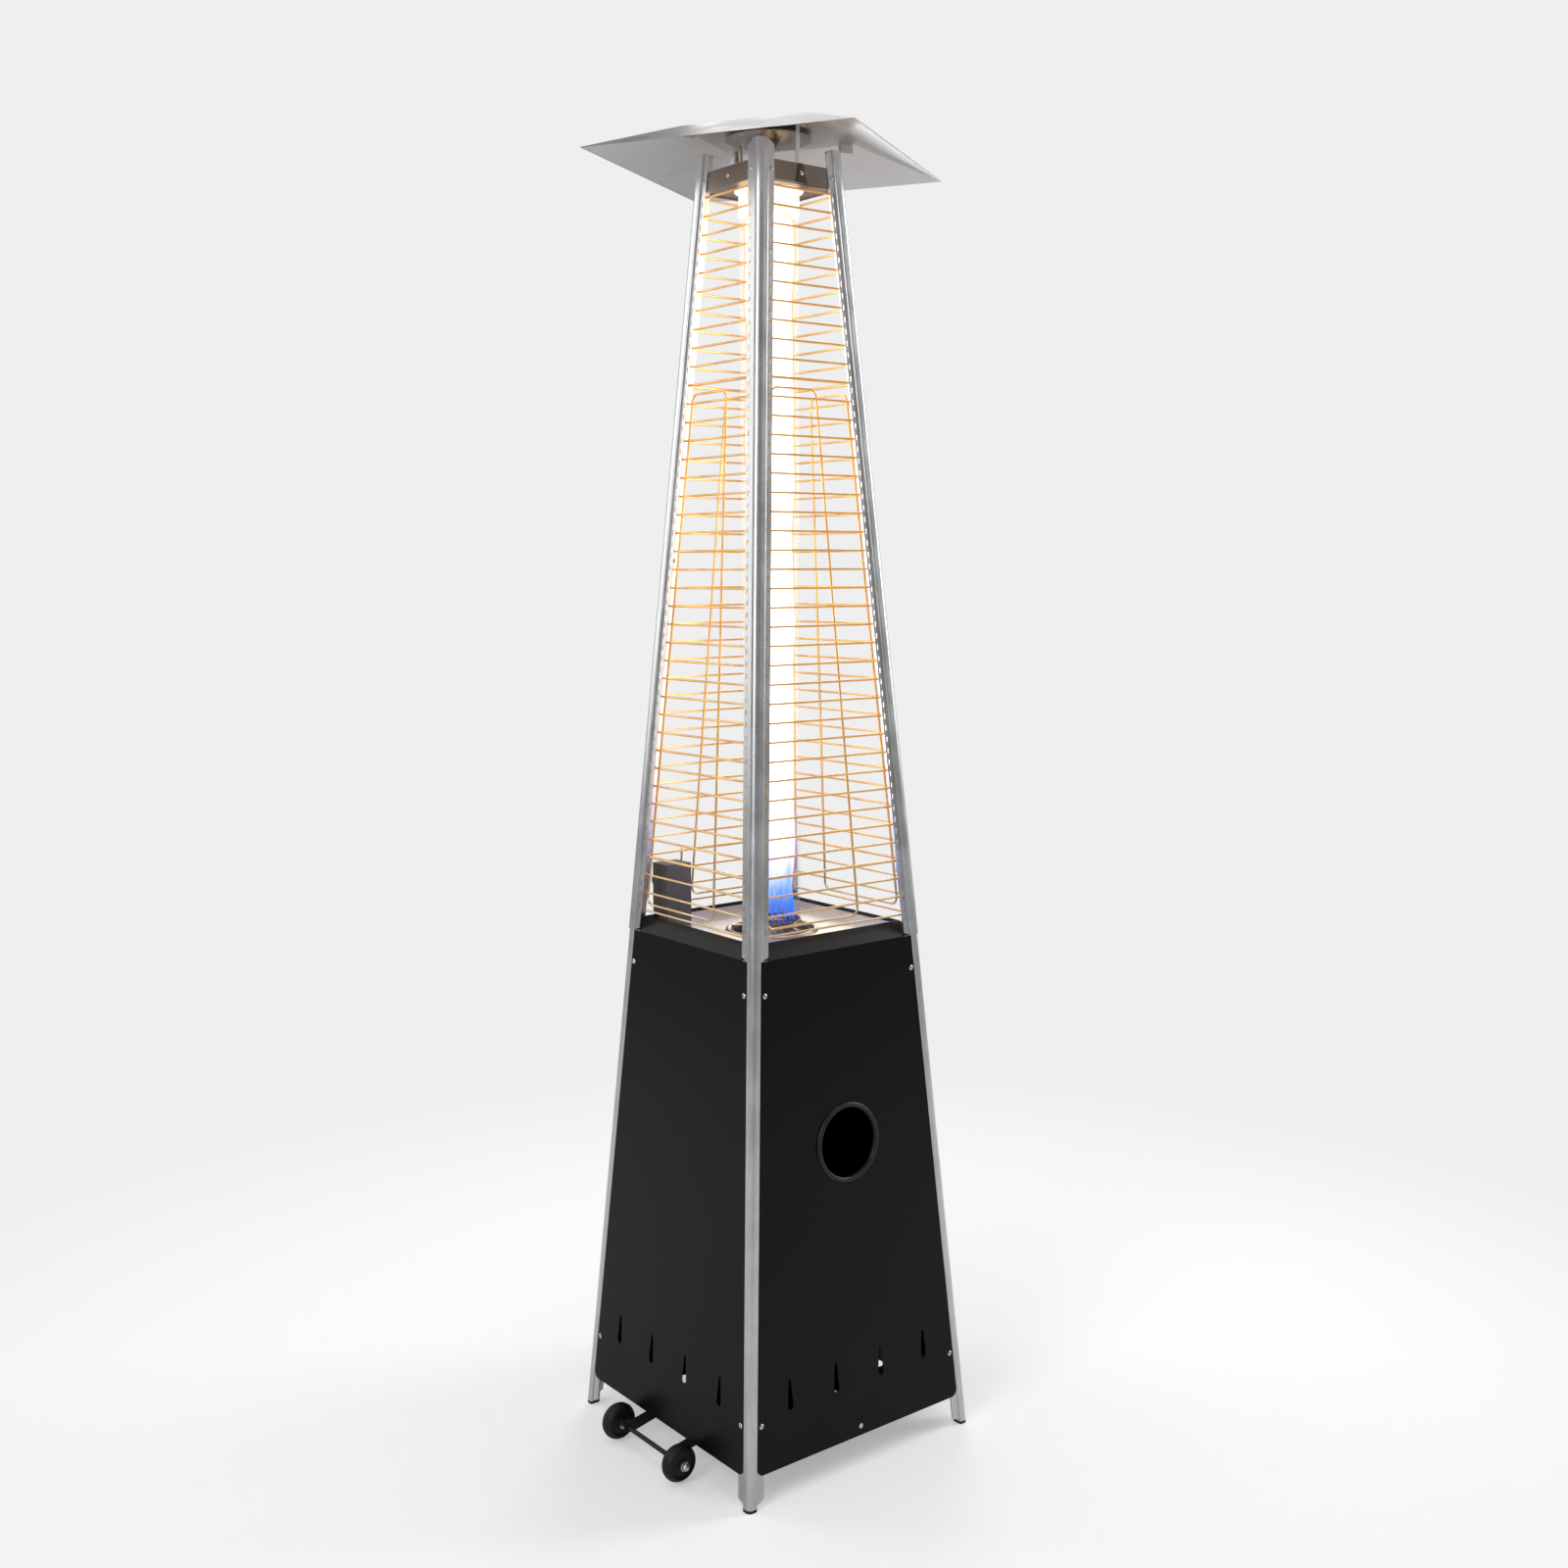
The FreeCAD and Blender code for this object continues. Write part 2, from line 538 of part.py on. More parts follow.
def door_handle():
    """A turned pull knob near the free edge of the door."""
    profile = [(0, 0), (7, 0), (7, 2), (5, 4), (5, 10), (11, 15), (11, 20), (8, 23), (0, 23)]
    points = [V(r, -d, 0) for r, d in profile]
    wire = Part.Wire(lines(points + [points[0]]))
    knob = Part.Face(wire).revolve(ORIGIN, V(0, 1, 0), 360)
    x = half_at(DOOR_HANDLE_Z) - DOOR_FREE_EDGE - 34
    return turned(on_face(knob, x, DOOR_HANDLE_Z, PANEL_OUTER - DOOR_GAP), 2)


def door_catch():
    """A magnetic catch on the wing of the rear left post, just behind the closed door."""
    z0, z1 = DOOR_HANDLE_Z - 20, DOOR_HANDLE_Z + 20

    def slab(from_u, to_u, set_in, thickness):
        outline = [(half_at(z0) - to_u, z0), (half_at(z0) - from_u, z0),
                   (half_at(z1) - from_u, z1), (half_at(z1) - to_u, z1)]
        return plate_on_front(outline, set_in, thickness)

    body = slab(LOWER_RIB_END + 2, WING_REACH + 12, LOWER_WING_BACK, 9)
    magnet = slab(WING_REACH + 1.5, WING_REACH + 12, LOWER_WING_SETBACK + 0.2, 2.4)
    return turned(joined([body, magnet]), 2)


# ---- deck and burner -----------------------------------------------------------------
def post_clearance(z0, z1):
    """Room for the post at each corner, from z0 to z1."""
    low = -half_at(z0) - 10

    def room(reach_x, reach_y):
        x, y = low + 10 + reach_x, low + 10 + reach_y
        points = [V(low, low, z0), V(x, low, z0), V(x, y, z0), V(low, y, z0)]
        return raked(Part.Face(Part.makePolygon(points + [points[0]])), z1 - z0)

    rib, depth = UPPER_RIB + EDGE_GAP, LOWER_WING_BACK + EDGE_GAP
    corner = joined([room(rib, rib)] + both_wings(room(WING_REACH + 2, depth)))
    return group([turned(corner, n) for n in range(4)])


def deck_skirt():
    """The bevelled black band round the deck, with an inner wall down to the deck's edge."""
    low_half = half_at(SKIRT_BOTTOM_Z) - PANEL_OUTER
    outer = frustum(low_half, SKIRT_TOP_HALF, SKIRT_BOTTOM_Z, SKIRT_TOP_Z)
    slope = (low_half - SKIRT_TOP_HALF) / SKIRT_RISE
    drop = SHEET * math.sqrt(1 + slope * slope) / slope
    under = frustum(low_half, SKIRT_TOP_HALF - slope, SKIRT_BOTTOM_Z, SKIRT_TOP_Z + 1)
    under.translate(V(0, 0, -drop))
    core = SKIRT_TOP_HALF - SHEET
    band = outer.cut(under)
    wall = box(-SKIRT_TOP_HALF, SKIRT_TOP_HALF, -SKIRT_TOP_HALF, SKIRT_TOP_HALF, BRACKET_TOP_Z, SKIRT_TOP_Z)
    band = joined([band, wall]).cut(box(-core, core, -core, core, BRACKET_TOP_Z - 1, SKIRT_TOP_Z + 1))
    return band.cut(post_clearance(SKIRT_BOTTOM_Z - 30, SKIRT_TOP_Z + 5))


def deck():
    """The bright deck plate with turned-up edges and the burner hole."""
    half = DECK_HALF
    plate = box(-half, half, -half, half, BRACKET_TOP_Z, DECK_Z + DECK_FLANGE)
    inner = half - SHEET
    plate = plate.cut(box(-inner, inner, -inner, inner, DECK_Z, DECK_Z + DECK_FLANGE + 1))
    plate = plate.cut(Part.makeCylinder(DECK_HOLE / 2, 20, V(0, 0, DECK_Z - 10)))
    x0, x1 = BOX_LEFT_X + 8, BOX_RIGHT_X - 8
    y0, y1 = BOX_FACE_Y - BOX_DEPTH + 6, DECK_HALF - 6
    return plate.cut(box(x0, x1, y0, y1, DECK_Z - 10, DECK_Z + 0.5))


def deck_bracket():
    """A corner angle behind both wings of the front left post that carries the deck."""
    z0, z1 = BRACKET_TOP_Z - 42, BRACKET_TOP_Z
    y_low = -half_at(z1) + LOWER_WING_BACK
    outline = [(-half_at(z0) + LOWER_RIB_END + 2.5, z0), (-half_at(z0) + WING_REACH, z0),
               (-half_at(z1) + WING_REACH, z1), (-half_at(z1) + LOWER_RIB_END + 2.5, z1)]
    upright = plate_on_front(outline, LOWER_WING_BACK, 1.6)
    shelf = box(-half_at(z1) + LOWER_RIB_END + 2.5, -half_at(z1) + WING_REACH, y_low, y_low + 34, z1 - 1.6, z1)
    return joined(both_wings(upright) + both_wings(shelf))


def burner_collar():
    """A rolled ring on the deck round the burner opening."""
    bore, outer = DECK_HOLE / 2 - 2, DECK_HOLE / 2 + 8
    points = [V(bore, 0, DECK_Z - 14), V(bore + 1, 0, DECK_Z - 14), V(bore + 1, 0, DECK_Z), V(outer, 0, DECK_Z)]
    edges = lines(points)
    edges.append(Part.makeLine(V(outer, 0, DECK_Z), V(outer, 0, DECK_Z + 1)))
    edges.append(Part.Arc(
        V(outer, 0, DECK_Z + 1), V((outer + bore) / 2, 0, DECK_Z + 4), V(bore, 0, DECK_Z + 2)).toShape())
    edges.append(Part.makeLine(V(bore, 0, DECK_Z + 2), V(bore, 0, DECK_Z - 14)))
    return Part.Face(Part.Wire(edges)).revolve(ORIGIN, UP, 360)


def burner_bowl():
    """The pot under the deck that holds the burner, with air holes round its wall."""
    outer = DECK_HOLE - 7
    z0, z1 = DECK_Z - 62, DECK_Z - 2
    bowl = ring(outer, outer - 2.4, z0, z1)
    floor = ring(outer, 32.4, z0, z0 + 1.6)
    rim = ring(DECK_HOLE - 4.2, outer - 2.4, DECK_Z - 18, DECK_Z - 14.2)
    holes = []
    for n in range(12):
        angle = math.radians(15 + 30 * n)
        side = V(math.cos(angle), math.sin(angle), 0)
        holes.append(Part.makeCylinder(8, 20, V(0, 0, z0 + 24) + side * (outer / 2 - 10), side))
    return joined([bowl, floor, rim]).cut(group(holes))


def mixer_tube():
    """The pipe that brings gas and air up to the burner head, flared at its foot."""
    low, high = DECK_Z - 130, DECK_Z - 30
    points = [V(13.5, 0, high), V(13.5, 0, low + 26), V(20, 0, low), V(21.5, 0, low), V(15, 0, low + 26.4),
              V(15, 0, DECK_Z - 66), V(19, 0, DECK_Z - 66), V(19, 0, DECK_Z - 62.1), V(15, 0, DECK_Z - 62.1),
              V(15, 0, high), V(13.5, 0, high)]
    pipe = Part.Face(Part.Wire(lines(points))).revolve(ORIGIN, UP, 360)
    holes = [Part.makeCylinder(5, 60, V(0, 0, low + 16), V(math.cos(a), math.sin(a), 0))
             for a in (0, math.pi / 2, math.pi, 3 * math.pi / 2)]
    return pipe.cut(group(holes))


def burner_head():
    """A flat round head with rings of gas holes, pushed on the mixer tube."""
    z0, z1 = DECK_Z - 38, DECK_Z - 4
    points = [V(15.1, 0, z0), V(18, 0, z0), V(18, 0, z0 + 10), V(39, 0, z1 - 12), V(39, 0, z1 - 2), V(37, 0, z1),
              V(0, 0, z1), V(0, 0, z1 - 2), V(36.5, 0, z1 - 2.6), V(36.5, 0, z1 - 11.5),
              V(15.1, 0, z0 + 11.5), V(15.1, 0, z0)]
    head = Part.Face(Part.Wire(lines(points))).revolve(ORIGIN, UP, 360)
    holes = []
    for radius, count in ((12, 6), (22, 12), (31, 18)):
        for n in range(count):
            angle = 2 * math.pi * n / count
            holes.append(Part.makeCylinder(2, 8, V(radius * math.cos(angle), radius * math.sin(angle), z1 - 5)))
    return head.cut(group(holes))


def tube_cradle():
    """The ring that the quartz tube stands in, on three arms from the wall of the pot."""
    z0 = TUBE_BOTTOM_Z - 3
    seat = ring(TUBE_OUTER + 5, TUBE_OUTER - 2 * TUBE_WALL - 3, z0, TUBE_BOTTOM_Z)
    rim = ring(TUBE_OUTER + 5, TUBE_OUTER + 0.6, z0, TUBE_BOTTOM_Z + 8)
    arms = []
    for n in range(3):
        arm = box(TUBE_OUTER / 2 + 1, DECK_HOLE / 2 - 2.4, -5, 5, z0, z0 + 1.5)
        leg = box(DECK_HOLE / 2 - 3.4, DECK_HOLE / 2 - 2.4, -5, 5, DECK_Z - 14.2, z0 + 1.5)
        for shape in (arm, leg):
            shape.rotate(ORIGIN, UP, 30 + 120 * n)
            arms.append(shape)
    return joined([seat, rim] + arms)


# ---- quartz tube and the top ---------------------------------------------------------
def quartz_tube():
    return ring(TUBE_OUTER, TUBE_OUTER - 2 * TUBE_WALL, TUBE_BOTTOM_Z, TUBE_TOP_Z)


def tube_top_ring():
    """A loose collar that steadies the top of the quartz tube under the top plate."""
    top = BAR_BOTTOM_Z + 1
    wall = ring(TUBE_OUTER + 4.2, TUBE_OUTER + 1.2, TUBE_TOP_Z - 20, top)
    lip = ring(TUBE_OUTER + 18, TUBE_OUTER + 1.2, top - 1.5, top)
    return joined([wall, lip])


def top_plate():
    """The plate across the post tops, with its two long edges turned up inside the side bars."""
    low = BAR_BOTTOM_Z + 1
    set_in = UPPER_WING_BACK + BAR_THICKNESS
    half_x = half_at(low) - set_in - 3.2
    half_y = half_at(low) - set_in - 10
    plate = box(-half_x, half_x, -half_y, half_y, low, low + 1.5)
    outline = [(-40, low), (40, low), (40, BAR_TOP_Z - 4), (-40, BAR_TOP_Z - 4)]
    flange = plate_on_front(outline, set_in, 1.5)
    edge_y = -half_at(low + 1.5) + set_in
    foot = box(-40, 40, edge_y, edge_y + 5, low, low + 1.5)
    side = joined([flange, foot])
    hole = Part.makeCylinder(TUBE_OUTER / 2 + 1.6, 20, V(0, 0, low - 5))
    plate = joined([plate, turned(side, 1), turned(side, 3)])
    return plate.cut(post_clearance(low - 5, low + 10)).cut(group([hole] + bar_screws(clearance)))


def top_bar():
    """The flat bar between two post tops, behind their wings."""
    edge = UPPER_RIB + 1
    low, high = BAR_BOTTOM_Z, BAR_TOP_Z
    outline = [(-half_at(low) + edge, low), (half_at(low) - edge, low),
               (half_at(high) - edge, high), (-half_at(high) + edge, high)]
    return plate_on_front(outline, UPPER_WING_BACK, BAR_THICKNESS)


def bar_screws(make=screw):
    """Screws at the ends and in the middle of every bar."""
    one = make(8, 2.4, 4, WING_THICKNESS + BAR_THICKNESS + 3)
    middle = make(8, 2.4, 4, BAR_THICKNESS + 4)
    z = (BAR_BOTTOM_Z + BAR_TOP_Z) / 2
    shapes = []
    for n in range(4):
        for side in (-1, 1):
            x = side * (half_at(z) - (UPPER_RIB + WING_REACH) / 2)
            shapes.append(turned(on_face(one, x, z, UPPER_WING_SETBACK), n))
        if n in (1, 3):
            shapes.append(turned(on_face(middle, 0, z, UPPER_WING_BACK), n))
        else:
            shapes.append(turned(on_face(middle, 0, z, UPPER_WING_BACK - 1.5), n))
    return shapes


def hood_gusset():
    """A triangular plate on the outside of the front bar under the hood rod."""
    outline = [(-11, BAR_BOTTOM_Z), (11, BAR_BOTTOM_Z), (4.5, BAR_TOP_Z), (-4.5, BAR_TOP_Z)]
    return plate_on_front(outline, UPPER_WING_BACK - 1.5, 1.5)


def rod_y():
    return half_at(BAR_TOP_Z) - ROD_SETIN - ROD_DIAMETER / 4


def hood_rod():
    """A rod with a flat lug behind the front bar. Its shoulder carries the hood."""
    low = BAR_BOTTOM_Z + 8
    y = -rod_y()
    shank = rod(V(0, y, low + 10), V(0, y, HOOD_FLAT_UNDER_Z), ROD_DIAMETER)
    tip = rod(V(0, y, HOOD_FLAT_UNDER_Z - 1), V(0, y, HOOD_TOP_Z + 0.5), ROD_DIAMETER - 3)
    set_in = UPPER_WING_BACK + BAR_THICKNESS
    lug = plate_on_front([(-7, low), (7, low), (7, BAR_TOP_Z - 2), (-7, BAR_TOP_Z - 2)], set_in, 3)
    return joined([shank, lug, tip])


def hood():
    """The square hood: a flat middle and four flaps that slope down to the rim."""
    low = HOOD_TOP_Z - HOOD_DROP
    outer = frustum(HOOD_RIM_HALF, HOOD_FLAT_HALF, low, HOOD_TOP_Z)
    slope = (HOOD_RIM_HALF - HOOD_FLAT_HALF) / HOOD_DROP
    drop = HOOD_SHEET
    under = frustum(HOOD_RIM_HALF + slope * 5, HOOD_FLAT_HALF, low - 5, HOOD_TOP_Z)
    under.translate(V(0, 0, -drop))
    shell = joined([outer.cut(under)] + hood_tabs())
    shell.rotate(ORIGIN, UP, HOOD_TURN)
    holes = []
    for y in (-rod_y(), rod_y(), 0):
        holes.append(Part.makeCylinder((ROD_DIAMETER - 3) / 2 + 0.1, 10, V(0, y, HOOD_TOP_Z - 5)))
    return shell.cut(group(holes))


def hood_tabs():
    """A small folded tab under each corner of the hood's flat middle, where two flaps meet."""
    tabs = []
    for n in range(4):
        tab = box(0, HOOD_TAB_LENGTH, -0.6, 0.6, -HOOD_TAB_DROP, 0.5)
        wing = box(0, 1.2, -7, 7, -HOOD_TAB_DROP, 0.5)
        piece = joined([tab, wing])
        piece.translate(V(HOOD_FLAT_HALF * math.sqrt(2) - HOOD_TAB_LENGTH - 2, 0, HOOD_FLAT_UNDER_Z))
        piece.rotate(ORIGIN, UP, 45 + 90 * n)
        tabs.append(piece)
    return tabs


def hood_nuts():
    """Domed nuts over both rods and the middle bolt."""
    nuts = []
    for y in (-rod_y(), rod_y(), 0):
        hexagon = [V(6.2 * math.cos(math.radians(60 * n)), y + 6.2 * math.sin(math.radians(60 * n)), HOOD_TOP_Z)
                   for n in range(6)]
        nut = Part.Face(Part.makePolygon(hexagon + [hexagon[0]])).extrude(V(0, 0, HOOD_NUT_HEIGHT - 1.6))
        dome = Part.makeCone(5.2, 2.8, 1.6, V(0, y, OVERALL_HEIGHT - 1.6))
        bore = Part.makeCylinder((ROD_DIAMETER - 3) / 2 + 0.05, HOOD_NUT_HEIGHT - 2, V(0, y, HOOD_TOP_Z - 1))
        nuts.append(joined([nut, dome]).cut(bore))
    return nuts


def heat_disc():
    """The round plate under the middle of the hood that takes the hottest gas."""
    return ring(DISC_DIAMETER, ROD_DIAMETER - 2.8, DISC_TOP_Z - SHEET, DISC_TOP_Z)


def deflector_cone():
    """The cone under the disc, with its bolt up through the disc, a spacer and the hood."""
    base_z = DISC_TOP_Z - SHEET
    cone = Part.makeCone(7.5, 20, 20, V(0, 0, base_z - 20))
    bolt = Part.makeCylinder((ROD_DIAMETER - 3) / 2, HOOD_TOP_Z + 0.5 - base_z + 1, V(0, 0, base_z - 1))
    spacer = ring(14, 4, DISC_TOP_Z, HOOD_FLAT_UNDER_Z)
    return joined([cone, bolt, spacer])


# ---- wire guards ---------------------------------------------------------------------
def wire_guard(with_control_gap):
    """One welded guard for the front face: level wires on two side wires, and a rounded loop
    close to the left side wire. It is made flat and then leaned to the pyramid's face."""
    stretch = 1 / math.cos(math.radians(LEAN))

    def at(x, z, depth):
        return V(x, depth, (z - WIRE_FIRST_Z) * stretch)

    def side_x(z):
        return half_at(z) - SIDE_WIRE_REACH

    last_z = WIRE_FIRST_Z + WIRE_PITCH * (WIRE_ROWS - 1)
    row_depth = (SIDE_WIRE_DIAMETER + WIRE_DIAMETER) / 2 * 0.7
    loop_depth = row_depth * 2
    shapes = []
    z0, z1 = WIRE_FIRST_Z - 6, last_z + 6
    for side in (-1, 1):
        shapes.append(rod(at(side * side_x(z0), z0, 0), at(side * side_x(z1), z1, 0), SIDE_WIRE_DIAMETER))
    gap_x = -BOX_RIGHT_X - 8
    for row in range(WIRE_ROWS):
        z = WIRE_FIRST_Z + WIRE_PITCH * row
        thick = THICK_WIRE_DIAMETER if row in THICK_ROWS else WIRE_DIAMETER
        end = side_x(z) + 4
        right = gap_x + 4 if with_control_gap and z < BOX_TOP_Z + 6 else end
        shapes.append(rod(at(-end, z, row_depth), at(right, z, row_depth), thick))
    if with_control_gap:
        top = WIRE_FIRST_Z + WIRE_PITCH * 3
        shapes.append(rod(at(gap_x, z0, 0), at(gap_x, top + 4, 0), SIDE_WIRE_DIAMETER))
    shapes.append(guard_loop(at, side_x, loop_depth))
    guard = joined(shapes)
    guard.rotate(ORIGIN, V(1, 0, 0), -LEAN)
    set_in = UPPER_WING_BACK + SIDE_WIRE_DIAMETER / 2 * stretch
    guard.translate(V(0, -(half_at(WIRE_FIRST_Z) - set_in), WIRE_FIRST_Z))
    return guard


def guard_loop(at, side_x, depth):
    """The tall rounded loop that stiffens a guard."""
    low, high = [WIRE_FIRST_Z + WIRE_PITCH * row for row in LOOP_ROWS]
    inset = 9
    corners = [
        at(-side_x(low) + inset, low, depth),
        at(-side_x(low) + inset + 1.3 * side_x(low), low, depth),
        at(-side_x(high) + inset + 1.08 * side_x(high), high, depth),
        at(-side_x(high) + inset, high, depth),
    ]
    radius = 14
    edges = []
    spots = []
    for n, corner in enumerate(corners):
        before, after = corners[n - 1] - corner, corners[(n + 1) % 4] - corner
        angle = before.getAngle(after)
        reach = radius / math.tan(angle / 2)
        before.normalize()
        after.normalize()
        bisector = before + after
        bisector.normalize()
        tip = corner + bisector * (radius / math.sin(angle / 2) - radius)
        start, end = corner + before * reach, corner + after * reach
        edges.append(Part.Arc(start, tip, end).toShape())
        spots.append((start, end))
    for n in range(4):
        edges.append(Part.makeLine(spots[n][1], spots[(n + 1) % 4][0]))
    path = Part.Wire(Part.__sortEdges__(edges))
    start = path.Edges[0].Vertexes[0].Point
    tangent = path.Edges[0].tangentAt(path.Edges[0].FirstParameter)
    circle = Part.Wire(Part.makeCircle(SIDE_WIRE_DIAMETER / 2, start, tangent))
    return path.makePipeShell([circle], True, False)


def guard_clips():
    """Saddles that hold the side wires of every guard to the post wings."""
    clips = []
    set_in = UPPER_WING_BACK
    for row in CLIP_ROWS:
        z = WIRE_FIRST_Z + WIRE_PITCH * row
        for side in (-1, 1):
            x = side * (half_at(z) - SIDE_WIRE_REACH)
            inner, outer = x - side * (SIDE_WIRE_DIAMETER / 2 + 0.3), x + side * (SIDE_WIRE_DIAMETER / 2 + 0.3)
            bridge = box(min(x - side * 3.7, x + side * 3.7), max(x - side * 3.7, x + side * 3.7),
                         SIDE_WIRE_DIAMETER + 0.3, SIDE_WIRE_DIAMETER + 1.5, -4, 4)
            legs = [box(min(a, b), max(a, b), 0.1, SIDE_WIRE_DIAMETER + 1.5, -4, 4)
                    for a, b in ((inner, x - side * 3.7), (outer, x + side * 3.7))]
            clip = joined([bridge] + legs)
            clip.translate(V(-x, 0, 0))
            clips.append(on_face(clip, x, z, set_in))
    return [turned(s, n) for n in range(4) for s in clips]


# ---- controls ------------------------------------------------------------------------
def control_box():
    """The black housing on the rear edge of the deck, open below and to the bottle bay."""
    x0, x1 = BOX_LEFT_X, BOX_RIGHT_X
    y0, y1 = BOX_FACE_Y - BOX_DEPTH, BOX_FACE_Y
    low = SKIRT_TOP_Z + 0.3
    shell = box(x0, x1, y0, y1, low, BOX_TOP_Z)
    inside = box(x0 + SHEET, x1 - SHEET, y0 + SHEET, y1 - SHEET, low - 1, BOX_TOP_Z - SHEET)
    shell = shell.cut(inside)
    skirt = box(x0, x1, y0, DECK_HALF - SHEET - 0.2, DECK_Z, low + 1)
    skirt = skirt.cut(box(x0 + SHEET, x1 - SHEET, y0 + SHEET, y1, DECK_Z - 1, low + 2))
    x = BOX_X
    holes = [Part.makeCylinder(6.2, 20, V(x, y1 - 10, KNOB_Z), V(0, 1, 0)),
             Part.makeCylinder(9.1, 20, V(x, y1 - 10, BUTTON_Z), V(0, 1, 0))]
    return joined([shell, skirt]).cut(group(holes))


def fascia():
    """The bright plate on the front of the control box."""
    x = BOX_X
    y = BOX_FACE_Y
    plate = box(BOX_LEFT_X + 2, BOX_RIGHT_X - 2, y, y + 0.8, SKIRT_TOP_Z + 3, BOX_TOP_Z - 3)
    corners = [edge for edge in plate.Edges if abs(edge.Vertexes[0].Y - edge.Vertexes[-1].Y) > 0.5]
    plate = plate.makeFillet(4, corners)
    holes = [Part.makeCylinder(6.2, 20, V(x, y - 10, KNOB_Z), V(0, 1, 0)),
             Part.makeCylinder(9.1, 20, V(x, y - 10, BUTTON_Z), V(0, 1, 0))]
    return plate.cut(group(holes))


def knob_parts():
    """Gas knob, its spindle and the spring behind it."""
    x = BOX_X
    back = BOX_FACE_Y + 0.8 + KNOB_TRAVEL + 1.5
    radius = KNOB_DIAMETER / 2
    points = [V(0, 0, 0), V(radius, 0, 0), V(radius, 3, 0), V(radius - 3, 5, 0), V(radius - 5, KNOB_HEIGHT - 2, 0),
              V(radius - 7, KNOB_HEIGHT, 0), V(0, KNOB_HEIGHT, 0)]
    knob = Part.Face(Part.Wire(lines(points + [points[0]]))).revolve(ORIGIN, V(0, 1, 0), 360)
    grooves = []
    for n in range(24):
        angle = math.radians(15 * n)
        grooves.append(Part.makeCylinder(
            1.1, KNOB_HEIGHT, V((radius - 2.2) * math.cos(angle), 5.5, (radius - 2.2) * math.sin(angle)), V(0, 1, 0)))
    pointer = box(-1, 1, KNOB_HEIGHT - 0.8, KNOB_HEIGHT + 1, 3, radius - 6)
    socket = Part.makeCylinder(4.05, 9, ORIGIN, V(0, 1, 0))
    knob = knob.cut(group(grooves + [pointer])).cut(socket)
    knob.translate(V(x, back, KNOB_Z))
    spindle = rod(V(x, BOX_FACE_Y - 12, KNOB_Z), V(x, back + 8.9, KNOB_Z), 8)
    coil = Part.makeCylinder(6, back - BOX_FACE_Y + 7.6, V(x, BOX_FACE_Y - 8, KNOB_Z), V(0, 1, 0))
    coil = coil.cut(Part.makeCylinder(4.1, 40, V(x, BOX_FACE_Y - 15, KNOB_Z), V(0, 1, 0)))
    return knob, spindle, coil


def gas_valve():
    """The valve block behind the knob, with its outlet at the side and its inlet below."""
    x = BOX_X
    y = BOX_FACE_Y - 27
    block = box(x - 15, x + 15, y - 12, y + 10, KNOB_Z - 20, KNOB_Z + 16)
    nose = Part.makeCylinder(9, 4, V(x, y + 10, KNOB_Z), V(0, 1, 0))
    bore = Part.makeCylinder(4.1, 20, V(x, y + 14.1, KNOB_Z), V(0, -1, 0))
    inlet = Part.makeCylinder(7, 16, V(x - 6, y - 4, KNOB_Z - 36))
    outlet = Part.makeCylinder(5.5, 8, V(x + 10, y - 4, KNOB_Z - 28))
    return joined([block, nose, inlet, outlet]).cut(bore)


def igniter_parts():
    """The piezo igniter's barrel and its push button."""
    x = BOX_X
    z = BUTTON_Z
    face_y = BOX_FACE_Y + 0.8
    barrel = Part.makeCylinder(9, 20, V(x, face_y - 20, z), V(0, 1, 0))
    flange = Part.makeCylinder(11, 2, V(x, face_y, z), V(0, 1, 0))
    bore = Part.makeCylinder(BUTTON_DIAMETER / 2 + SLIDE_GAP, 60, V(x, face_y - 16, z), V(0, 1, 0))
    body = joined([barrel, flange]).cut(bore)
    top = face_y + 2 + BUTTON_TRAVEL + 3
    button = Part.makeCylinder(BUTTON_DIAMETER / 2, top - face_y + 8, V(x, face_y - 8, z), V(0, 1, 0))
    rim = [edge for edge in button.Edges if abs(edge.CenterOfMass.y - top) < 0.1 and edge.Closed]
    return body, button.makeFillet(1.5, rim)


def swept_tube(points, diameter, radii):
    """A round tube on straight runs joined by tangent arcs."""
    edges = []
    last = points[0]
    for n in range(1, len(points) - 1):
        corner, radius = points[n], radii[n - 1]
        before, after = points[n - 1] - corner, points[n + 1] - corner
        angle = before.getAngle(after)
        reach = radius / math.tan(angle / 2)
        before.normalize()
        after.normalize()
        bisector = before + after
        bisector.normalize()
        tip = corner + bisector * (radius / math.sin(angle / 2) - radius)
        start, end = corner + before * reach, corner + after * reach
        edges += lines([last, start])
        edges.append(Part.Arc(start, tip, end).toShape())
        last = end
    edges += lines([last, points[-1]])
    path = Part.Wire(edges)
    circle = Part.Wire(Part.makeCircle(diameter / 2, points[0], points[1] - points[0]))
    return path.makePipeShell([circle], True, False)


def injector_z():
    return DECK_Z - 150


def gas_pipe():
    """The rigid pipe from the valve's outlet down and across to the injector under the burner."""
    x = BOX_X + 10
    y = INLET_Y
    top = KNOB_Z - 28
    low = injector_z() - 30
    points = [V(x, y, top), V(x, y, low), V(0, 0, low), V(0, 0, injector_z() - 6)]
    return swept_tube(points, 8, (22, 16))


def injector():
    """The brass jet holder under the mixer tube."""
    z = injector_z()
    hexagon = [V(9 * math.cos(math.radians(60 * n)), 9 * math.sin(math.radians(60 * n)), z - 6) for n in range(6)]
    nut = Part.Face(Part.makePolygon(hexagon + [hexagon[0]])).extrude(V(0, 0, 14))
    nose = Part.makeCone(6, 3.5, 14, V(0, 0, z + 8))
    bore = Part.makeCylinder(0.8, 40, V(0, 0, z - 8))
    return joined([nut, nose]).cut(bore)


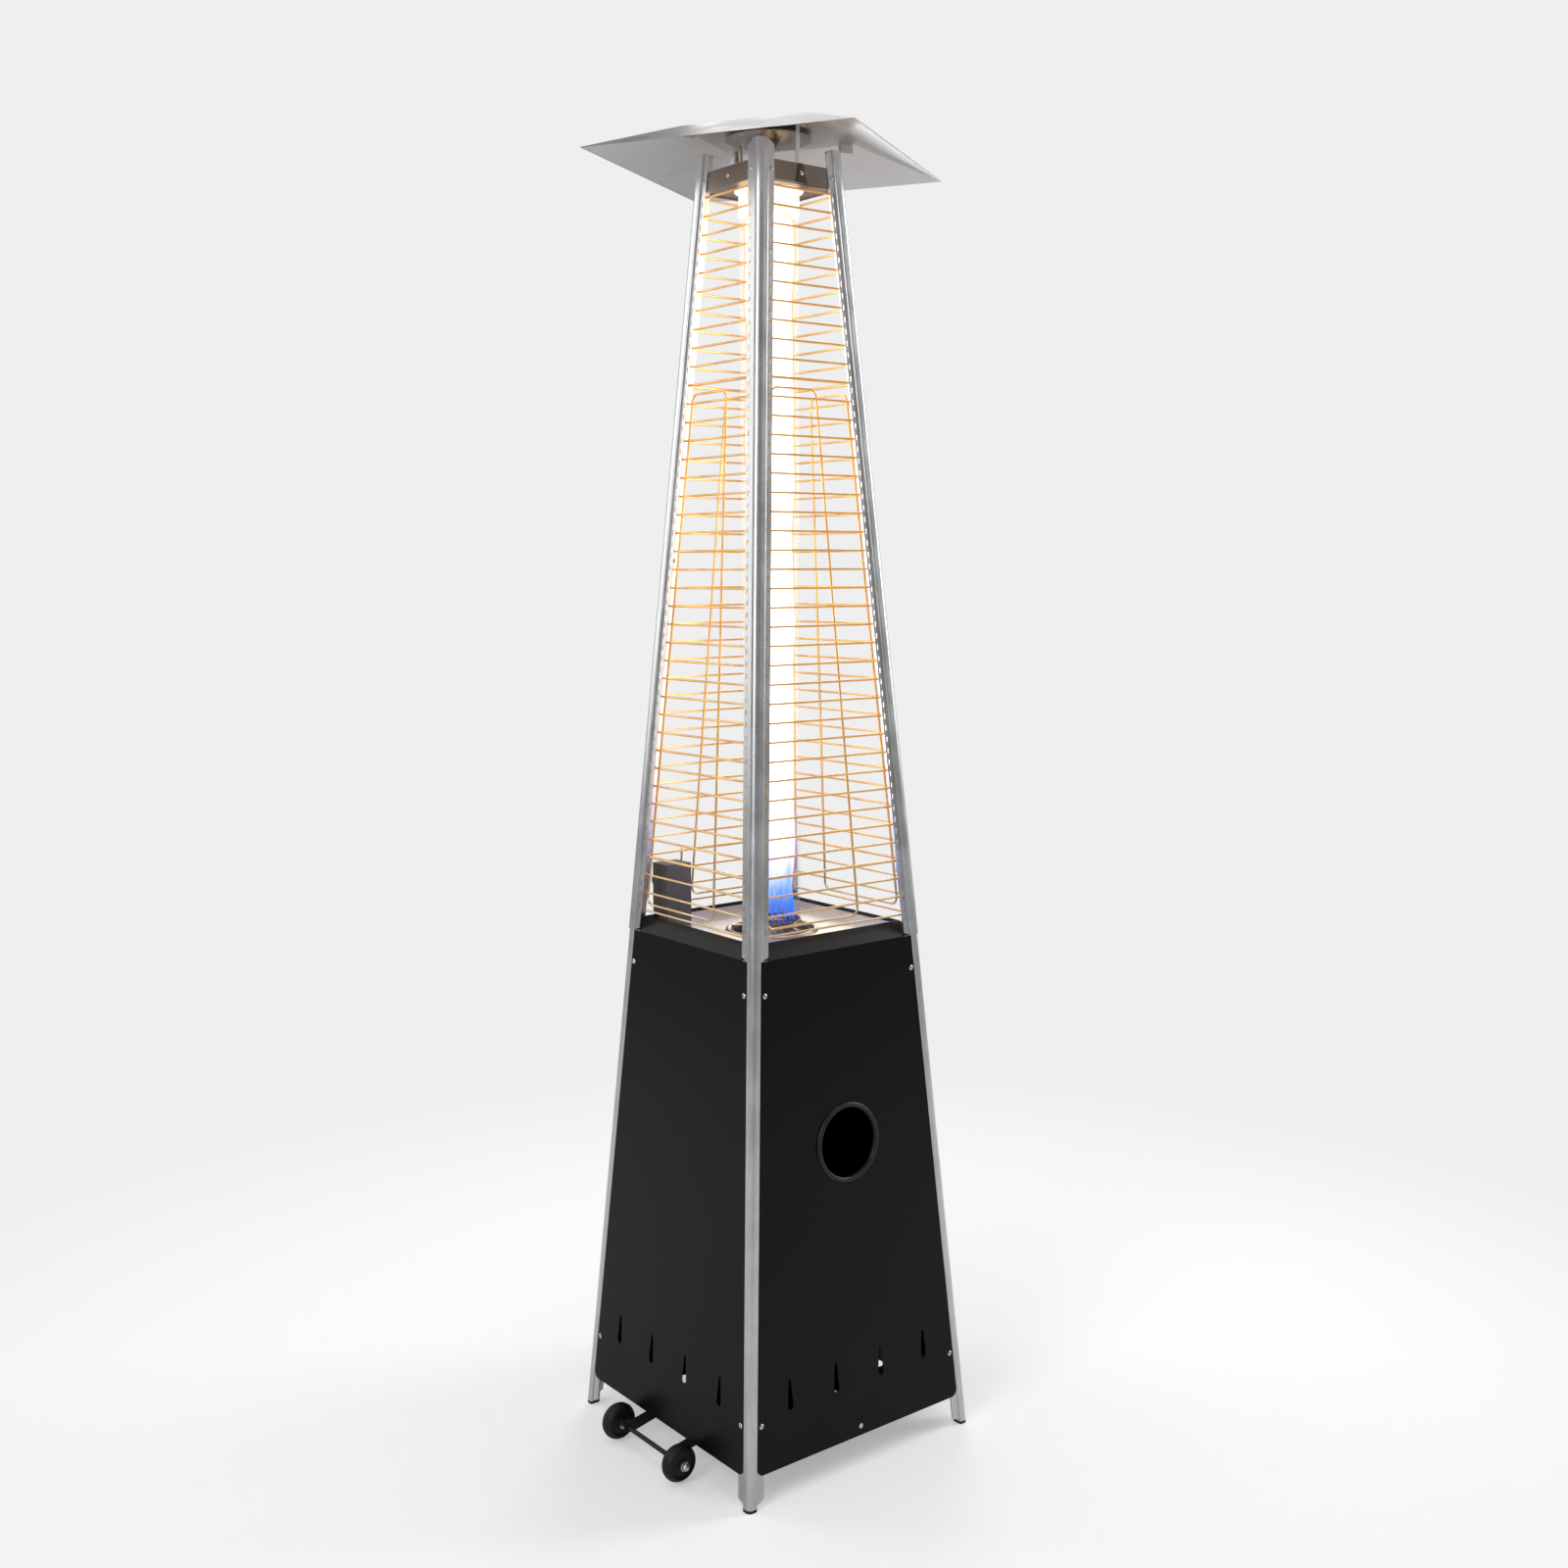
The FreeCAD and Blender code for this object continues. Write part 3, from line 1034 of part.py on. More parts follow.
def mixer_bracket():
    """The strap that hangs the injector under the pot, on two long studs."""
    z = injector_z()
    strap = box(-62, 62, -9, 9, z - 1.5, z).cut(Part.makeCylinder(9.1, 10, V(0, 0, z - 5)))
    studs = [rod(V(side * 52, 0, z), V(side * 52, 0, DECK_Z - 62.05), 5) for side in (-1, 1)]
    return joined([strap] + studs)


def gas_inlet():
    """The threaded inlet nipple of the valve, where a hose screws on inside the bottle bay."""
    x, y = INLET_X, INLET_Y
    top = KNOB_Z - 36
    collar = Part.makeCylinder(8.5, 8, V(x, y, top - 8))
    neck = Part.makeCylinder(6, 34, V(x, y, top - 42))
    thread = Part.makeCylinder(7.6, 18, V(x, y, top - 60))
    bore = Part.makeCylinder(3.5, 70, V(x, y, top - 65))
    return joined([collar, neck, thread]).cut(bore)


def pilot_parts():
    """Pilot burner, ignition electrode and thermocouple, on one clip beside the burner head."""
    z = DECK_Z - 30
    clip = box(42, 62, -18, 18, z - 10, z - 8)
    stem = box(60, 62, -8, 8, z - 30.4, z - 8)
    foot = joined([clip, stem])
    holes = [Part.makeCylinder(3.1, 10, V(50, y, z - 14)) for y in (-12, 0, 12)]
    foot = foot.cut(group(holes))
    pilot = Part.makeCylinder(3, 34, V(50, 0, z - 22)).fuse(Part.makeCone(3, 5, 5, V(50, 0, z + 12)))
    electrode = Part.makeCylinder(3, 26, V(50, 12, z - 20)).fuse(Part.makeCylinder(1, 14, V(50, 12, z + 6)))
    couple = Part.makeCylinder(3, 20, V(50, -12, z - 20)).fuse(Part.makeCylinder(2, 18, V(50, -12, z)))
    return group([foot, pilot.removeSplitter()]), electrode.removeSplitter(), couple.removeSplitter()


def tilt_switch():
    """The safety switch under the deck that shuts the gas off if the heater tips."""
    case = box(86, 126, -14, 14, BRACKET_TOP_Z - 26, BRACKET_TOP_Z)
    lugs = box(78, 134, -8, 8, BRACKET_TOP_Z - 1.5, BRACKET_TOP_Z)
    return joined([case, lugs])


# ---- wheels --------------------------------------------------------------------------
def wheel_ear():
    """One bracket under the left edge of the tray that carries the axle."""
    top = TRAY_TOP_Z - SHEET
    inner_x = -half_at(TRAY_TOP_Z) + LOWER_WING_BACK + SHEET + 0.6
    drop_z = PANEL_BOTTOM_Z - 2.5
    outline = [(inner_x + 34, top), (inner_x, top), (inner_x, drop_z), (AXLE_X + 4, WHEEL_Z + 11),
               (AXLE_X - 8, WHEEL_Z + 6), (AXLE_X - 8, WHEEL_Z - 8), (AXLE_X + 8, WHEEL_Z - 10),
               (inner_x + 34, drop_z - 14)]
    points = [V(x, EAR_HALF_GAP, z) for x, z in outline]
    ear = Part.Face(Part.makePolygon(points + [points[0]])).extrude(V(0, 2.5, 0))
    flange = box(inner_x, inner_x + 34, EAR_HALF_GAP - 18, EAR_HALF_GAP + 1, top - 2.5, top)
    hole = Part.makeCylinder(AXLE_DIAMETER / 2 + 0.05, 10, V(AXLE_X, EAR_HALF_GAP - 4, WHEEL_Z), V(0, 1, 0))
    return joined([ear, flange]).cut(hole)


def wheel_ears():
    ear = wheel_ear()
    return [ear, ear.mirror(ORIGIN, V(0, 1, 0))]


def axle():
    length = WHEEL_HALF_TRACK + WHEEL_WIDTH / 2 + 4
    return rod(V(AXLE_X, -length, WHEEL_Z), V(AXLE_X, length, WHEEL_Z), AXLE_DIAMETER)


def wheel(side):
    """A solid wheel with a rounded tread, a dished face and a hub."""
    half, radius = WHEEL_WIDTH / 2, WHEEL_DIAMETER / 2
    bore = AXLE_DIAMETER / 2 + PIN_GAP + 0.05
    points = [V(bore, -half, 0), V(10, -half, 0), V(10, -half + 3, 0), V(22, -half + 5, 0), V(23, -half + 2, 0),
              V(radius - WHEEL_SHOULDER, -half + 2, 0)]
    edges = lines(points)
    low, high = V(radius - WHEEL_SHOULDER, -half + 2, 0), V(radius - WHEEL_SHOULDER, half - 2, 0)
    edges.append(Part.Arc(low, V(radius, 0, 0), high).toShape())
    back = [high, V(23, half - 2, 0), V(22, half - 5, 0), V(10, half - 3, 0),
            V(10, half, 0), V(bore, half, 0), V(bore, -half, 0)]
    edges += lines(back)
    solid = Part.Face(Part.Wire(edges)).revolve(ORIGIN, V(0, 1, 0), 360)
    solid.translate(V(AXLE_X, side * WHEEL_HALF_TRACK, WHEEL_Z))
    return solid


def axle_nuts():
    """Bright domed cap nuts on both ends of the axle."""
    nuts = []
    start = WHEEL_HALF_TRACK + WHEEL_WIDTH / 2 + SLIDE_GAP
    for side in (-1, 1):
        direction = V(0, side, 0)
        place = V(AXLE_X, side * start, WHEEL_Z)
        base = Part.makeCylinder(8, 2.5, place, direction)
        barrel = Part.makeCylinder(6.5, 6, place, direction)
        dome = Part.makeSphere(6.5, V(AXLE_X, side * (start + 5), WHEEL_Z), direction, 0, 90, 360)
        bore = Part.makeCylinder(AXLE_DIAMETER / 2, 4.2, V(AXLE_X, side * (start - 0.4), WHEEL_Z), direction)
        nuts.append(joined([base, barrel, dome]).cut(bore))
    return nuts


def axle_washers():
    """Push-on washers that keep each wheel off its bracket."""
    washers = []
    place = WHEEL_HALF_TRACK - WHEEL_WIDTH / 2 - SLIDE_GAP
    for side in (-1, 1):
        disc = Part.makeCylinder(9, 1.6, V(AXLE_X, side * place, WHEEL_Z), V(0, -side, 0))
        hole = Part.makeCylinder(AXLE_DIAMETER / 2, 10, V(AXLE_X, side * place + 5, WHEEL_Z), V(0, -1, 0))
        washers.append(disc.cut(hole))
    return washers


def joint_bolts(make=screw):
    """Bolts inside the post joint: through the back of the upper rib into the spigot."""
    z = JOINT_Z + SPIGOT_LENGTH * 0.55
    one = make(9, 3, 4.6, UPPER_WALL + LOWER_WALL + 2)
    one.rotate(ORIGIN, UP, 180)
    pair = both_wings(on_face(one, -half_at(z) + UPPER_RIB / 2 + 2, z, UPPER_RIB))
    return [turned(s, n) for n in range(4) for s in pair]


# ---- all the pieces ------------------------------------------------------------------
def build():
    """Every node of the heater, by name."""
    nodes = {}
    joint_holes = joint_bolts(clearance)
    upper_holes = group(joint_holes + bar_screws(clearance))
    lower_holes = group(joint_holes + tray_screws(clearance) + panel_screws(clearance))
    upper, lower = upper_post(), lower_post()
    for n, corner in enumerate(CORNER_NAMES):
        nodes["upper_post_" + corner] = turned(upper, n).cut(upper_holes)
    nodes["lower_posts"] = group([turned(lower, n).cut(lower_holes) for n in range(4)])
    plug = foot_plug()
    nodes["foot_plugs"] = group([turned(plug, n) for n in range(4)])

    nodes["bottle_tray"] = bottle_tray()
    nodes["frame_screws"] = group(joint_bolts() + tray_screws())
    panel_holes = group(panel_screws(clearance))
    nodes["front_panel"] = front_panel().cut(panel_holes)
    nodes["right_panel"] = turned(fixed_panel(), 1).cut(panel_holes)
    nodes["left_panel"] = turned(fixed_panel(), 3).cut(panel_holes)
    nodes["panel_screws"] = group(panel_screws())
    nodes["port_ring"] = port_ring()

    nodes["door_panel"] = door()
    nodes["hinge_leaves_fixed"], nodes["hinge_leaves_door"] = door_hinges()
    nodes["door_handle"] = door_handle()
    nodes["door_catch"] = door_catch()

    nodes["deck_brackets"] = group([turned(deck_bracket(), n) for n in range(4)])
    nodes["deck_skirt"] = deck_skirt()
    nodes["deck_plate"] = deck()
    nodes["burner_collar"] = burner_collar()
    nodes["burner_pot"] = burner_bowl()
    nodes["mixer_tube"] = mixer_tube()
    nodes["burner_head"] = burner_head()
    nodes["tube_cradle"] = tube_cradle()

    nodes["quartz_tube"] = quartz_tube()
    nodes["tube_top_ring"] = tube_top_ring()
    nodes["top_plate"] = top_plate()
    bar_holes = group(bar_screws(clearance))
    nodes["top_bars"] = group([turned(top_bar(), n).cut(bar_holes) for n in range(4)])
    nodes["top_fasteners"] = group(bar_screws() + hood_nuts())
    nodes["hood_rods"] = group([turned(s, n).cut(bar_holes) for n in (0, 2) for s in (hood_rod(), hood_gusset())])
    nodes["hood"] = hood()
    nodes["heat_disc"] = heat_disc()
    nodes["deflector_cone"] = deflector_cone()

    guard = wire_guard(False)
    nodes["guard_front"] = guard
    nodes["guard_right"] = turned(guard, 1)
    nodes["guard_rear"] = turned(wire_guard(True), 2)
    nodes["guard_left"] = turned(guard, 3)
    nodes["guard_clips"] = group(guard_clips())

    nodes["control_box"] = control_box()
    nodes["control_fascia"] = fascia()
    nodes["gas_knob"], nodes["valve_spindle"], nodes["knob_spring"] = knob_parts()
    nodes["gas_valve"] = gas_valve()
    nodes["igniter_barrel"], nodes["igniter_button"] = igniter_parts()
    nodes["gas_pipe"] = gas_pipe()
    nodes["gas_jet"] = group([injector(), mixer_bracket()])
    nodes["gas_inlet"] = gas_inlet()
    nodes["pilot_burner"], nodes["spark_electrode"], nodes["thermocouple"] = pilot_parts()
    nodes["tilt_switch"] = tilt_switch()

    nodes["wheel_brackets"] = group(wheel_ears())
    nodes["axle"] = axle()
    nodes["wheel_front"] = wheel(-1)
    nodes["wheel_rear"] = wheel(1)
    nodes["axle_nuts"] = group(axle_nuts() + axle_washers())
    return nodes


def main():
    os.makedirs("parts", exist_ok=True)
    for name, shape in build().items():
        shape.exportStep("parts/" + name + ".step")


main()
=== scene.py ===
"""Gas patio heater: four raked posts, a black cabinet, a flame in a glass tube and a square hood.

Metres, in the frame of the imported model: +Z up, the floor at zero, the front along -Y. Each
sub-assembly is a class that makes its own new pieces and gives every piece its finish.
"""

import logging
import math
from abc import ABC, abstractmethod
from dataclasses import dataclass
from enum import Enum
from typing import Any

import bpy
import numpy as np
from mathutils import Matrix, Vector


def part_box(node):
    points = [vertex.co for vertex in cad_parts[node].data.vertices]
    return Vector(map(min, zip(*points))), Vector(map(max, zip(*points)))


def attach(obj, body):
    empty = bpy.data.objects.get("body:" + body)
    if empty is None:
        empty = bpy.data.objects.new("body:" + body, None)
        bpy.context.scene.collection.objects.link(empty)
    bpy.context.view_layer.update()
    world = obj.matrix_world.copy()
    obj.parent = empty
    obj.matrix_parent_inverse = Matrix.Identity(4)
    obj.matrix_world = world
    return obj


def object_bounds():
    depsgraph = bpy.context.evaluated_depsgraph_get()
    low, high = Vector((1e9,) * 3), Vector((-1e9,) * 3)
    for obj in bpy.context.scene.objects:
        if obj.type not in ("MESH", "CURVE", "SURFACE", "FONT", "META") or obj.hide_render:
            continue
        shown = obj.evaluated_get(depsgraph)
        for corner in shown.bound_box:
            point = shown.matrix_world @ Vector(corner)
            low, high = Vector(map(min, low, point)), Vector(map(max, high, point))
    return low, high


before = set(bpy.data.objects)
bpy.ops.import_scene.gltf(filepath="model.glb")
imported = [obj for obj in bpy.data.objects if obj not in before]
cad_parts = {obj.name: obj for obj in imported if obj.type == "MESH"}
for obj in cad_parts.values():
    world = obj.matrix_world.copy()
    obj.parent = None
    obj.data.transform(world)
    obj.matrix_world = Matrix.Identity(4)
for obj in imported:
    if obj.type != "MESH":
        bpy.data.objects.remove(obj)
CAD_LOW, CAD_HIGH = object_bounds()

logging.basicConfig(level=logging.INFO, format="%(message)s")
log = logging.getLogger("heater")

Colour = tuple[float, float, float, float]
Stops = tuple[tuple[float, Colour], ...]

MM = 0.001


def grey(level: float, warmth: float = 0.0) -> Colour:
    """Return a near-neutral colour, with more red than blue where warmth is above zero.

    Args:
        level: How light it is, from 0 to 1.
        warmth: How far red stands above blue, as a share of the level.

    Returns:
        The colour with full alpha.
    """
    return (level * (1 + warmth / 2), level, level * (1 - warmth / 2), 1.0)


# ---- shader maths ----------------------------------------------------------------------


class Sock:
    """A value on its way through a material. Python's operators add Math nodes."""

    def __init__(self, sheet: "ShaderSheet", link: bpy.types.NodeSocket) -> None:
        """Keep the sheet that the socket belongs to."""
        self.sheet = sheet
        self.link = link

    def math(self, operation: str, *others: "Sock | float") -> "Sock":
        """Return a Math node of that operation on this value and the others."""
        return self.sheet.number(operation, self, *others)

    def __add__(self, other: "Sock | float") -> "Sock":
        """Return the sum."""
        return self.math("ADD", other)

    def __radd__(self, other: float) -> "Sock":
        """Return the sum, with the number on the left."""
        return self.sheet.number("ADD", other, self)

    def __sub__(self, other: "Sock | float") -> "Sock":
        """Return the difference."""
        return self.math("SUBTRACT", other)

    def __rsub__(self, other: float) -> "Sock":
        """Return the difference, with the number on the left."""
        return self.sheet.number("SUBTRACT", other, self)

    def __mul__(self, other: "Sock | float") -> "Sock":
        """Return the product."""
        return self.math("MULTIPLY", other)

    def __rmul__(self, other: float) -> "Sock":
        """Return the product, with the number on the left."""
        return self.sheet.number("MULTIPLY", other, self)

    def __truediv__(self, other: "Sock | float") -> "Sock":
        """Return the quotient."""
        return self.math("DIVIDE", other)

    def __pow__(self, other: "Sock | float") -> "Sock":
        """Return the power."""
        return self.math("POWER", other)

    def root(self) -> "Sock":
        """Return the square root."""
        return self.math("SQRT")

    def clamped(self) -> "Sock":
        """Return the value held between 0 and 1."""
        return self.math("MAXIMUM", 0.0).math("MINIMUM", 1.0)

    def part(self, name: str) -> "Sock":
        """Return another output of the same node."""
        return Sock(self.sheet, self.link.node.outputs[name])


class ShaderSheet:
    """A material being made: its node tree and the one method that adds a node."""

    def __init__(self, name: str) -> None:
        """Start an empty material of that name."""
        self.material = bpy.data.materials.new(name)
        self.material.use_nodes = True
        self.tree = self.material.node_tree
        self.tree.nodes.clear()

    def node(
        self,
        kind: str,
        settings: dict[str, Any] | None = None,
        values: dict[int | str, Any] | None = None,
        output: int | str = 0,
    ) -> Sock:
        """Add one node.

        Args:
            kind: The node's type.
            settings: What is set on the node first. "stops" is a ramp's list of stops.
            values: The numbers, colours or links of its inputs.
            output: The output to return.

        Returns:
            That output.
        """
        made = self.tree.nodes.new(kind)
        for name, value in (settings or {}).items():
            if name == "stops":
                self._set_stops(made.color_ramp, value)
            else:
                setattr(made, name, value)
        for name, value in (values or {}).items():
            if isinstance(value, Sock):
                self.tree.links.new(value.link, made.inputs[name])
            else:
                made.inputs[name].default_value = value
        return Sock(self, made.outputs[output])

    @staticmethod
    def _set_stops(ramp: bpy.types.ColorRamp, stops: Stops) -> None:
        """Give a ramp its stops, each a place from 0 to 1 and a colour."""
        while len(ramp.elements) < len(stops):
            ramp.elements.new(1.0)
        for element, (place, colour) in zip(ramp.elements, stops):
            element.position = place
            element.color = colour

    def number(self, operation: str, *values: Sock | float) -> Sock:
        """Return a Math node of that operation on the values."""
        return self.node("ShaderNodeMath", {"operation": operation}, dict(enumerate(values)))

    def place(self) -> Sock:
        """Return the point on the piece, in metres."""
        return self.node("ShaderNodeTexCoord", output="Object")

    def axis(self, name: str) -> Sock:
        """Return one coordinate of the point on the piece, in metres."""
        return self.node("ShaderNodeSeparateXYZ", values={0: self.place()}, output=name)

    def from_middle(self) -> Sock:
        """Return the distance from the heater's middle line, in metres."""
        across = self.axis("X")
        deep = across.part("Y")
        return (across * across + deep * deep).root()

    def stretched(self, scale: tuple[float, float, float]) -> Sock:
        """Return the point with each coordinate multiplied by its own number."""
        return self.node("ShaderNodeMapping", values={"Vector": self.place(), "Scale": scale})

    def noise(self, scale: float, detail: float, at: Sock | None = None) -> Sock:
        """Return soft noise.

        Args:
            scale: Features per metre.
            detail: Octaves of finer noise.
            at: Where it is read, or the plain point on the piece.

        Returns:
            A value around one half.
        """
        values = {"Vector": at or self.place(), "Scale": scale, "Detail": detail}
        return self.node("ShaderNodeTexNoise", values=values)

    def span(self, value: Sock, low: float, high: float, to: tuple[float, float] = (0.0, 1.0)) -> Sock:
        """Return value eased from low..high to another range, and held at its ends."""
        settings = {"interpolation_type": "SMOOTHSTEP"}
        values = {0: value, 1: low, 2: high, 3: to[0], 4: to[1]}
        return self.node("ShaderNodeMapRange", settings, values)

    def mix(self, share: Sock | float, first: Sock | Colour, second: Sock | Colour) -> Sock:
        """Return first and second blended, all second where share is 1."""
        values = {0: share, 6: first, 7: second}
        return self.node("ShaderNodeMix", {"data_type": "RGBA"}, values, 2)

    def ramp(self, value: Sock, stops: Stops) -> Sock:
        """Return the colour that a ramp gives a value."""
        return self.node("ShaderNodeValToRGB", {"stops": stops}, {0: value})

    def bump(self, height: Sock, metres: float, strength: float) -> Sock:
        """Return the normal of a surface that stands up to that many metres where height is 1."""
        values = {"Strength": strength, "Distance": metres, "Height": height}
        return self.node("ShaderNodeBump", values=values)

    def principled(self, **values: Any) -> Sock:
        """Return a Principled shader. An underscore in an input's name stands for a space."""
        named = {name.replace("_", " "): value for name, value in values.items()}
        return self.node("ShaderNodeBsdfPrincipled", values=named)

    def close(self, surface: Sock) -> bpy.types.Material:
        """Join the shader to the output and return the material."""
        output = self.tree.nodes.new("ShaderNodeOutputMaterial")
        self.tree.links.new(surface.link, output.inputs["Surface"])
        return self.material


# ---- finishes --------------------------------------------------------------------------


class Grain(Enum):
    """The way that the lines of a brushed finish run."""

    ALONG_X = (1.0, 60.0, 60.0)
    ALONG_Z = (60.0, 60.0, 1.0)
    LEVEL = (1.0, 1.0, 60.0)
    EVEN = (12.0, 12.0, 12.0)


@dataclass(frozen=True)
class Finish(ABC):
    """A finish, made into a material once and used on every piece that has it."""

    name: str

    @abstractmethod
    def paint(self, sheet: ShaderSheet) -> Sock:
        """Return the finish's shader, built on the sheet."""

    def material(self) -> bpy.types.Material:
        """Return the finish's material, making it the first time."""
        name = self.name + "_finish"
        ready = bpy.data.materials.get(name)
        if ready:
            return ready
        sheet = ShaderSheet(name)
        return sheet.close(self.paint(sheet))


@dataclass(frozen=True)
class BrushedMetal(Finish):
    """Metal drawn or brushed one way: long fine lines, broader streaks and handled patches."""

    colour: Colour
    shade: Colour
    roughness: float
    grain: Grain
    lines: float = 40.0
    depth: float = 0.03 * MM

    def paint(self, sheet: ShaderSheet) -> Sock:
        """Return brushed metal.

        The lines are noise on a point squeezed across the grain. Streaks are the same noise
        four times as broad, and patches are plain noise.

        Args:
            sheet: The material being made.

        Returns:
            The shader.
        """
        along = sheet.stretched(self.grain.value)
        line = sheet.noise(self.lines, 3.0, along)
        streak = sheet.noise(self.lines / 4, 2.0, along)
        patch = sheet.span(sheet.noise(14.0, 4.0), 0.35, 0.7)
        tone = (streak * 0.6 + line * 0.4 + patch * 0.25).clamped()
        return sheet.principled(
            Base_Color=sheet.mix(sheet.span(tone, 0.35, 0.8), self.shade, self.colour),
            Metallic=1.0,
            Roughness=self.roughness + (line - 0.5) * 0.12 + (patch - 0.5) * 0.08,
            Normal=sheet.bump(line, self.depth, 0.6),
        )


@dataclass(frozen=True)
class PowderCoat(Finish):
    """Baked paint: a faint orange-peel skin, cloudy gloss, and dust that gathers low down."""

    colour: Colour
    dust: Colour
    roughness: float
    dust_top: float
    dust_share: float
    peel: float = 0.05 * MM
    specular: float = 0.3

    def paint(self, sheet: ShaderSheet) -> Sock:
        """Return baked paint.

        Dust is a height that fades from the floor up, times broken noise. The skin is noise
        of about a millimetre.

        Args:
            sheet: The material being made.

        Returns:
            The shader.
        """
        low = sheet.span(sheet.axis("Z"), 0.0, self.dust_top, (1.0, 0.0))
        broken = sheet.span(sheet.noise(9.0, 6.0), 0.3, 0.75)
        dusty = (low * broken * self.dust_share).clamped()
        cloud = sheet.noise(5.0, 3.0)
        skin = sheet.noise(700.0, 1.0)
        return sheet.principled(
            Base_Color=sheet.mix(dusty, self.colour, self.dust),
            Roughness=self.roughness + (cloud - 0.5) * 0.1 + dusty * 0.25 + (skin - 0.5) * 0.04,
            Normal=sheet.bump(skin, self.peel, 0.5),
            Specular_IOR_Level=self.specular,
        )


@dataclass(frozen=True)
class HeatedSteel(Finish):
    """Bright steel coloured by heat round the middle of the heater."""

    stops: Stops
    reach: float
    roughness: float
    grain: Grain
    lines: float = 30.0
    depth: float = 0.03 * MM
    wander: float = 0.18
    mark: float = 0.06

    def paint(self, sheet: ShaderSheet) -> Sock:
        """Return heat-tinted steel.

        The tint is a ramp on the distance from the middle line, as a share of the reach, moved
        a little by noise. The lines are noise squeezed across the grain.

        Args:
            sheet: The material being made.

        Returns:
            The shader.
        """
        distance = sheet.from_middle() / self.reach
        wander = (sheet.noise(18.0, 4.0) - 0.5) * self.wander
        line = sheet.noise(self.lines, 3.0, sheet.stretched(self.grain.value))
        tint = sheet.ramp((distance + wander + (line - 0.5) * self.mark).clamped(), self.stops)
        worn = sheet.span(sheet.noise(11.0, 5.0), 0.3, 0.7)
        return sheet.principled(
            Base_Color=tint,
            Metallic=1.0,
            Roughness=self.roughness + (line - 0.5) * 0.12 + (worn - 0.5) * 0.1,
            Normal=sheet.bump(line, self.depth, 0.6),
        )


@dataclass(frozen=True)
class SplitSteel(Finish):
    """Bright brushed steel above a height and dark steel below it."""

    above: Colour
    below: Colour
    height: float
    roughness: float

    def paint(self, sheet: ShaderSheet) -> Sock:
        """Return the two steels.

        A short ramp on height changes the colour, and fine upright noise lines move the
        roughness.

        Args:
            sheet: The material being made.

        Returns:
            The shader.
        """
        high = sheet.span(sheet.axis("Z"), self.height - MM, self.height + MM)
        line = sheet.noise(50.0, 3.0, sheet.stretched(Grain.ALONG_Z.value))
        return sheet.principled(
            Base_Color=sheet.mix(high, self.below, self.above),
            Metallic=1.0,
            Roughness=self.roughness + (line - 0.5) * 0.12,
            Normal=sheet.bump(line, 0.02 * MM, 0.5),
        )


@dataclass(frozen=True)
class GuardWire(Finish):
    """Bright plated wire, straw near the flame from heat tint and painted flame light, bronze
    heat tint in patches, a painted straw glow near the flame, and small specks.
    """

    cool: Colour
    straw: Colour
    bronze: Colour
    roughness: float
    # glow is the strength of a painted straw glow that stands in for flame light on the wire
    glow: float
    full_tint_within: float = 0.12
    tint_fade_within: float = 0.26
    rows_tint_low: float = 0.90
    rows_tint_full: float = 1.10

    def paint(self, sheet: ShaderSheet) -> Sock:
        """Return wire with heat tint, painted flame light and a painted glow.

        The straw colour, partly heat tint and partly painted flame light, and the painted straw
        glow are weak on the lowest rows and full above them, and a little weaker far from the
        middle. Bronze comes in patches of noise.

        Args:
            sheet: The material being made.

        Returns:
            The shader.
        """
        near = sheet.span(sheet.from_middle(), self.full_tint_within, self.tint_fade_within, (1.0, 0.7))
        high = sheet.span(sheet.axis("Z"), self.rows_tint_low, self.rows_tint_full, (0.35, 1.0))
        patch = sheet.span(sheet.noise(16.0, 3.0), 0.38, 0.62)
        speck = sheet.noise(900.0, 1.0)
        # Straw colour near the flame: partly heat tint, partly painted flame light.
        tint_and_painted_light = sheet.mix(near * high, self.cool, self.straw)
        return sheet.principled(
            Base_Color=sheet.mix(near * patch * high * 0.6, tint_and_painted_light, self.bronze),
            Metallic=1.0,
            Roughness=self.roughness + patch * 0.1 + (speck - 0.5) * 0.1,
            # Painted glow: the wire shines straw near the flame, standing in for flame light falling
            # on it.
            Emission_Color=sheet.mix(near * high, grey(0.0), self.straw),
            Emission_Strength=self.glow,
            Normal=sheet.bump(speck, 0.02 * MM, 0.4),
        )


@dataclass(frozen=True)
class Moulded(Finish):
    """Moulded plastic or rubber: fine spark-eroded grain, cloudy gloss and rubbed dust."""

    colour: Colour
    dust: Colour
    roughness: float
    grain_scale: float = 1300.0

    def paint(self, sheet: ShaderSheet) -> Sock:
        """Return moulded plastic, its grain a cell pattern of under a millimetre."""
        grain = sheet.node(
            "ShaderNodeTexVoronoi", values={"Vector": sheet.place(), "Scale": self.grain_scale}
        )
        rubbed = sheet.span(sheet.noise(40.0, 5.0), 0.45, 0.75)
        return sheet.principled(
            Base_Color=sheet.mix(rubbed * 0.35, self.colour, self.dust),
            Roughness=self.roughness + rubbed * 0.15 + (grain - 0.4) * 0.05,
            Normal=sheet.bump(grain, 0.03 * MM, 0.5),
        )


@dataclass(frozen=True)
class Ceramic(Finish):
    """Glazed white ceramic with faint brown marks from the flame."""

    colour: Colour
    scorch: Colour

    def paint(self, sheet: ShaderSheet) -> Sock:
        """Return glazed ceramic."""
        mark = sheet.span(sheet.noise(60.0, 5.0), 0.5, 0.8)
        return sheet.principled(
            Base_Color=sheet.mix(mark * 0.6, self.colour, self.scorch),
            Roughness=0.2 + mark * 0.3,
            Normal=sheet.bump(sheet.noise(500.0, 2.0), 0.02 * MM, 0.3),
        )


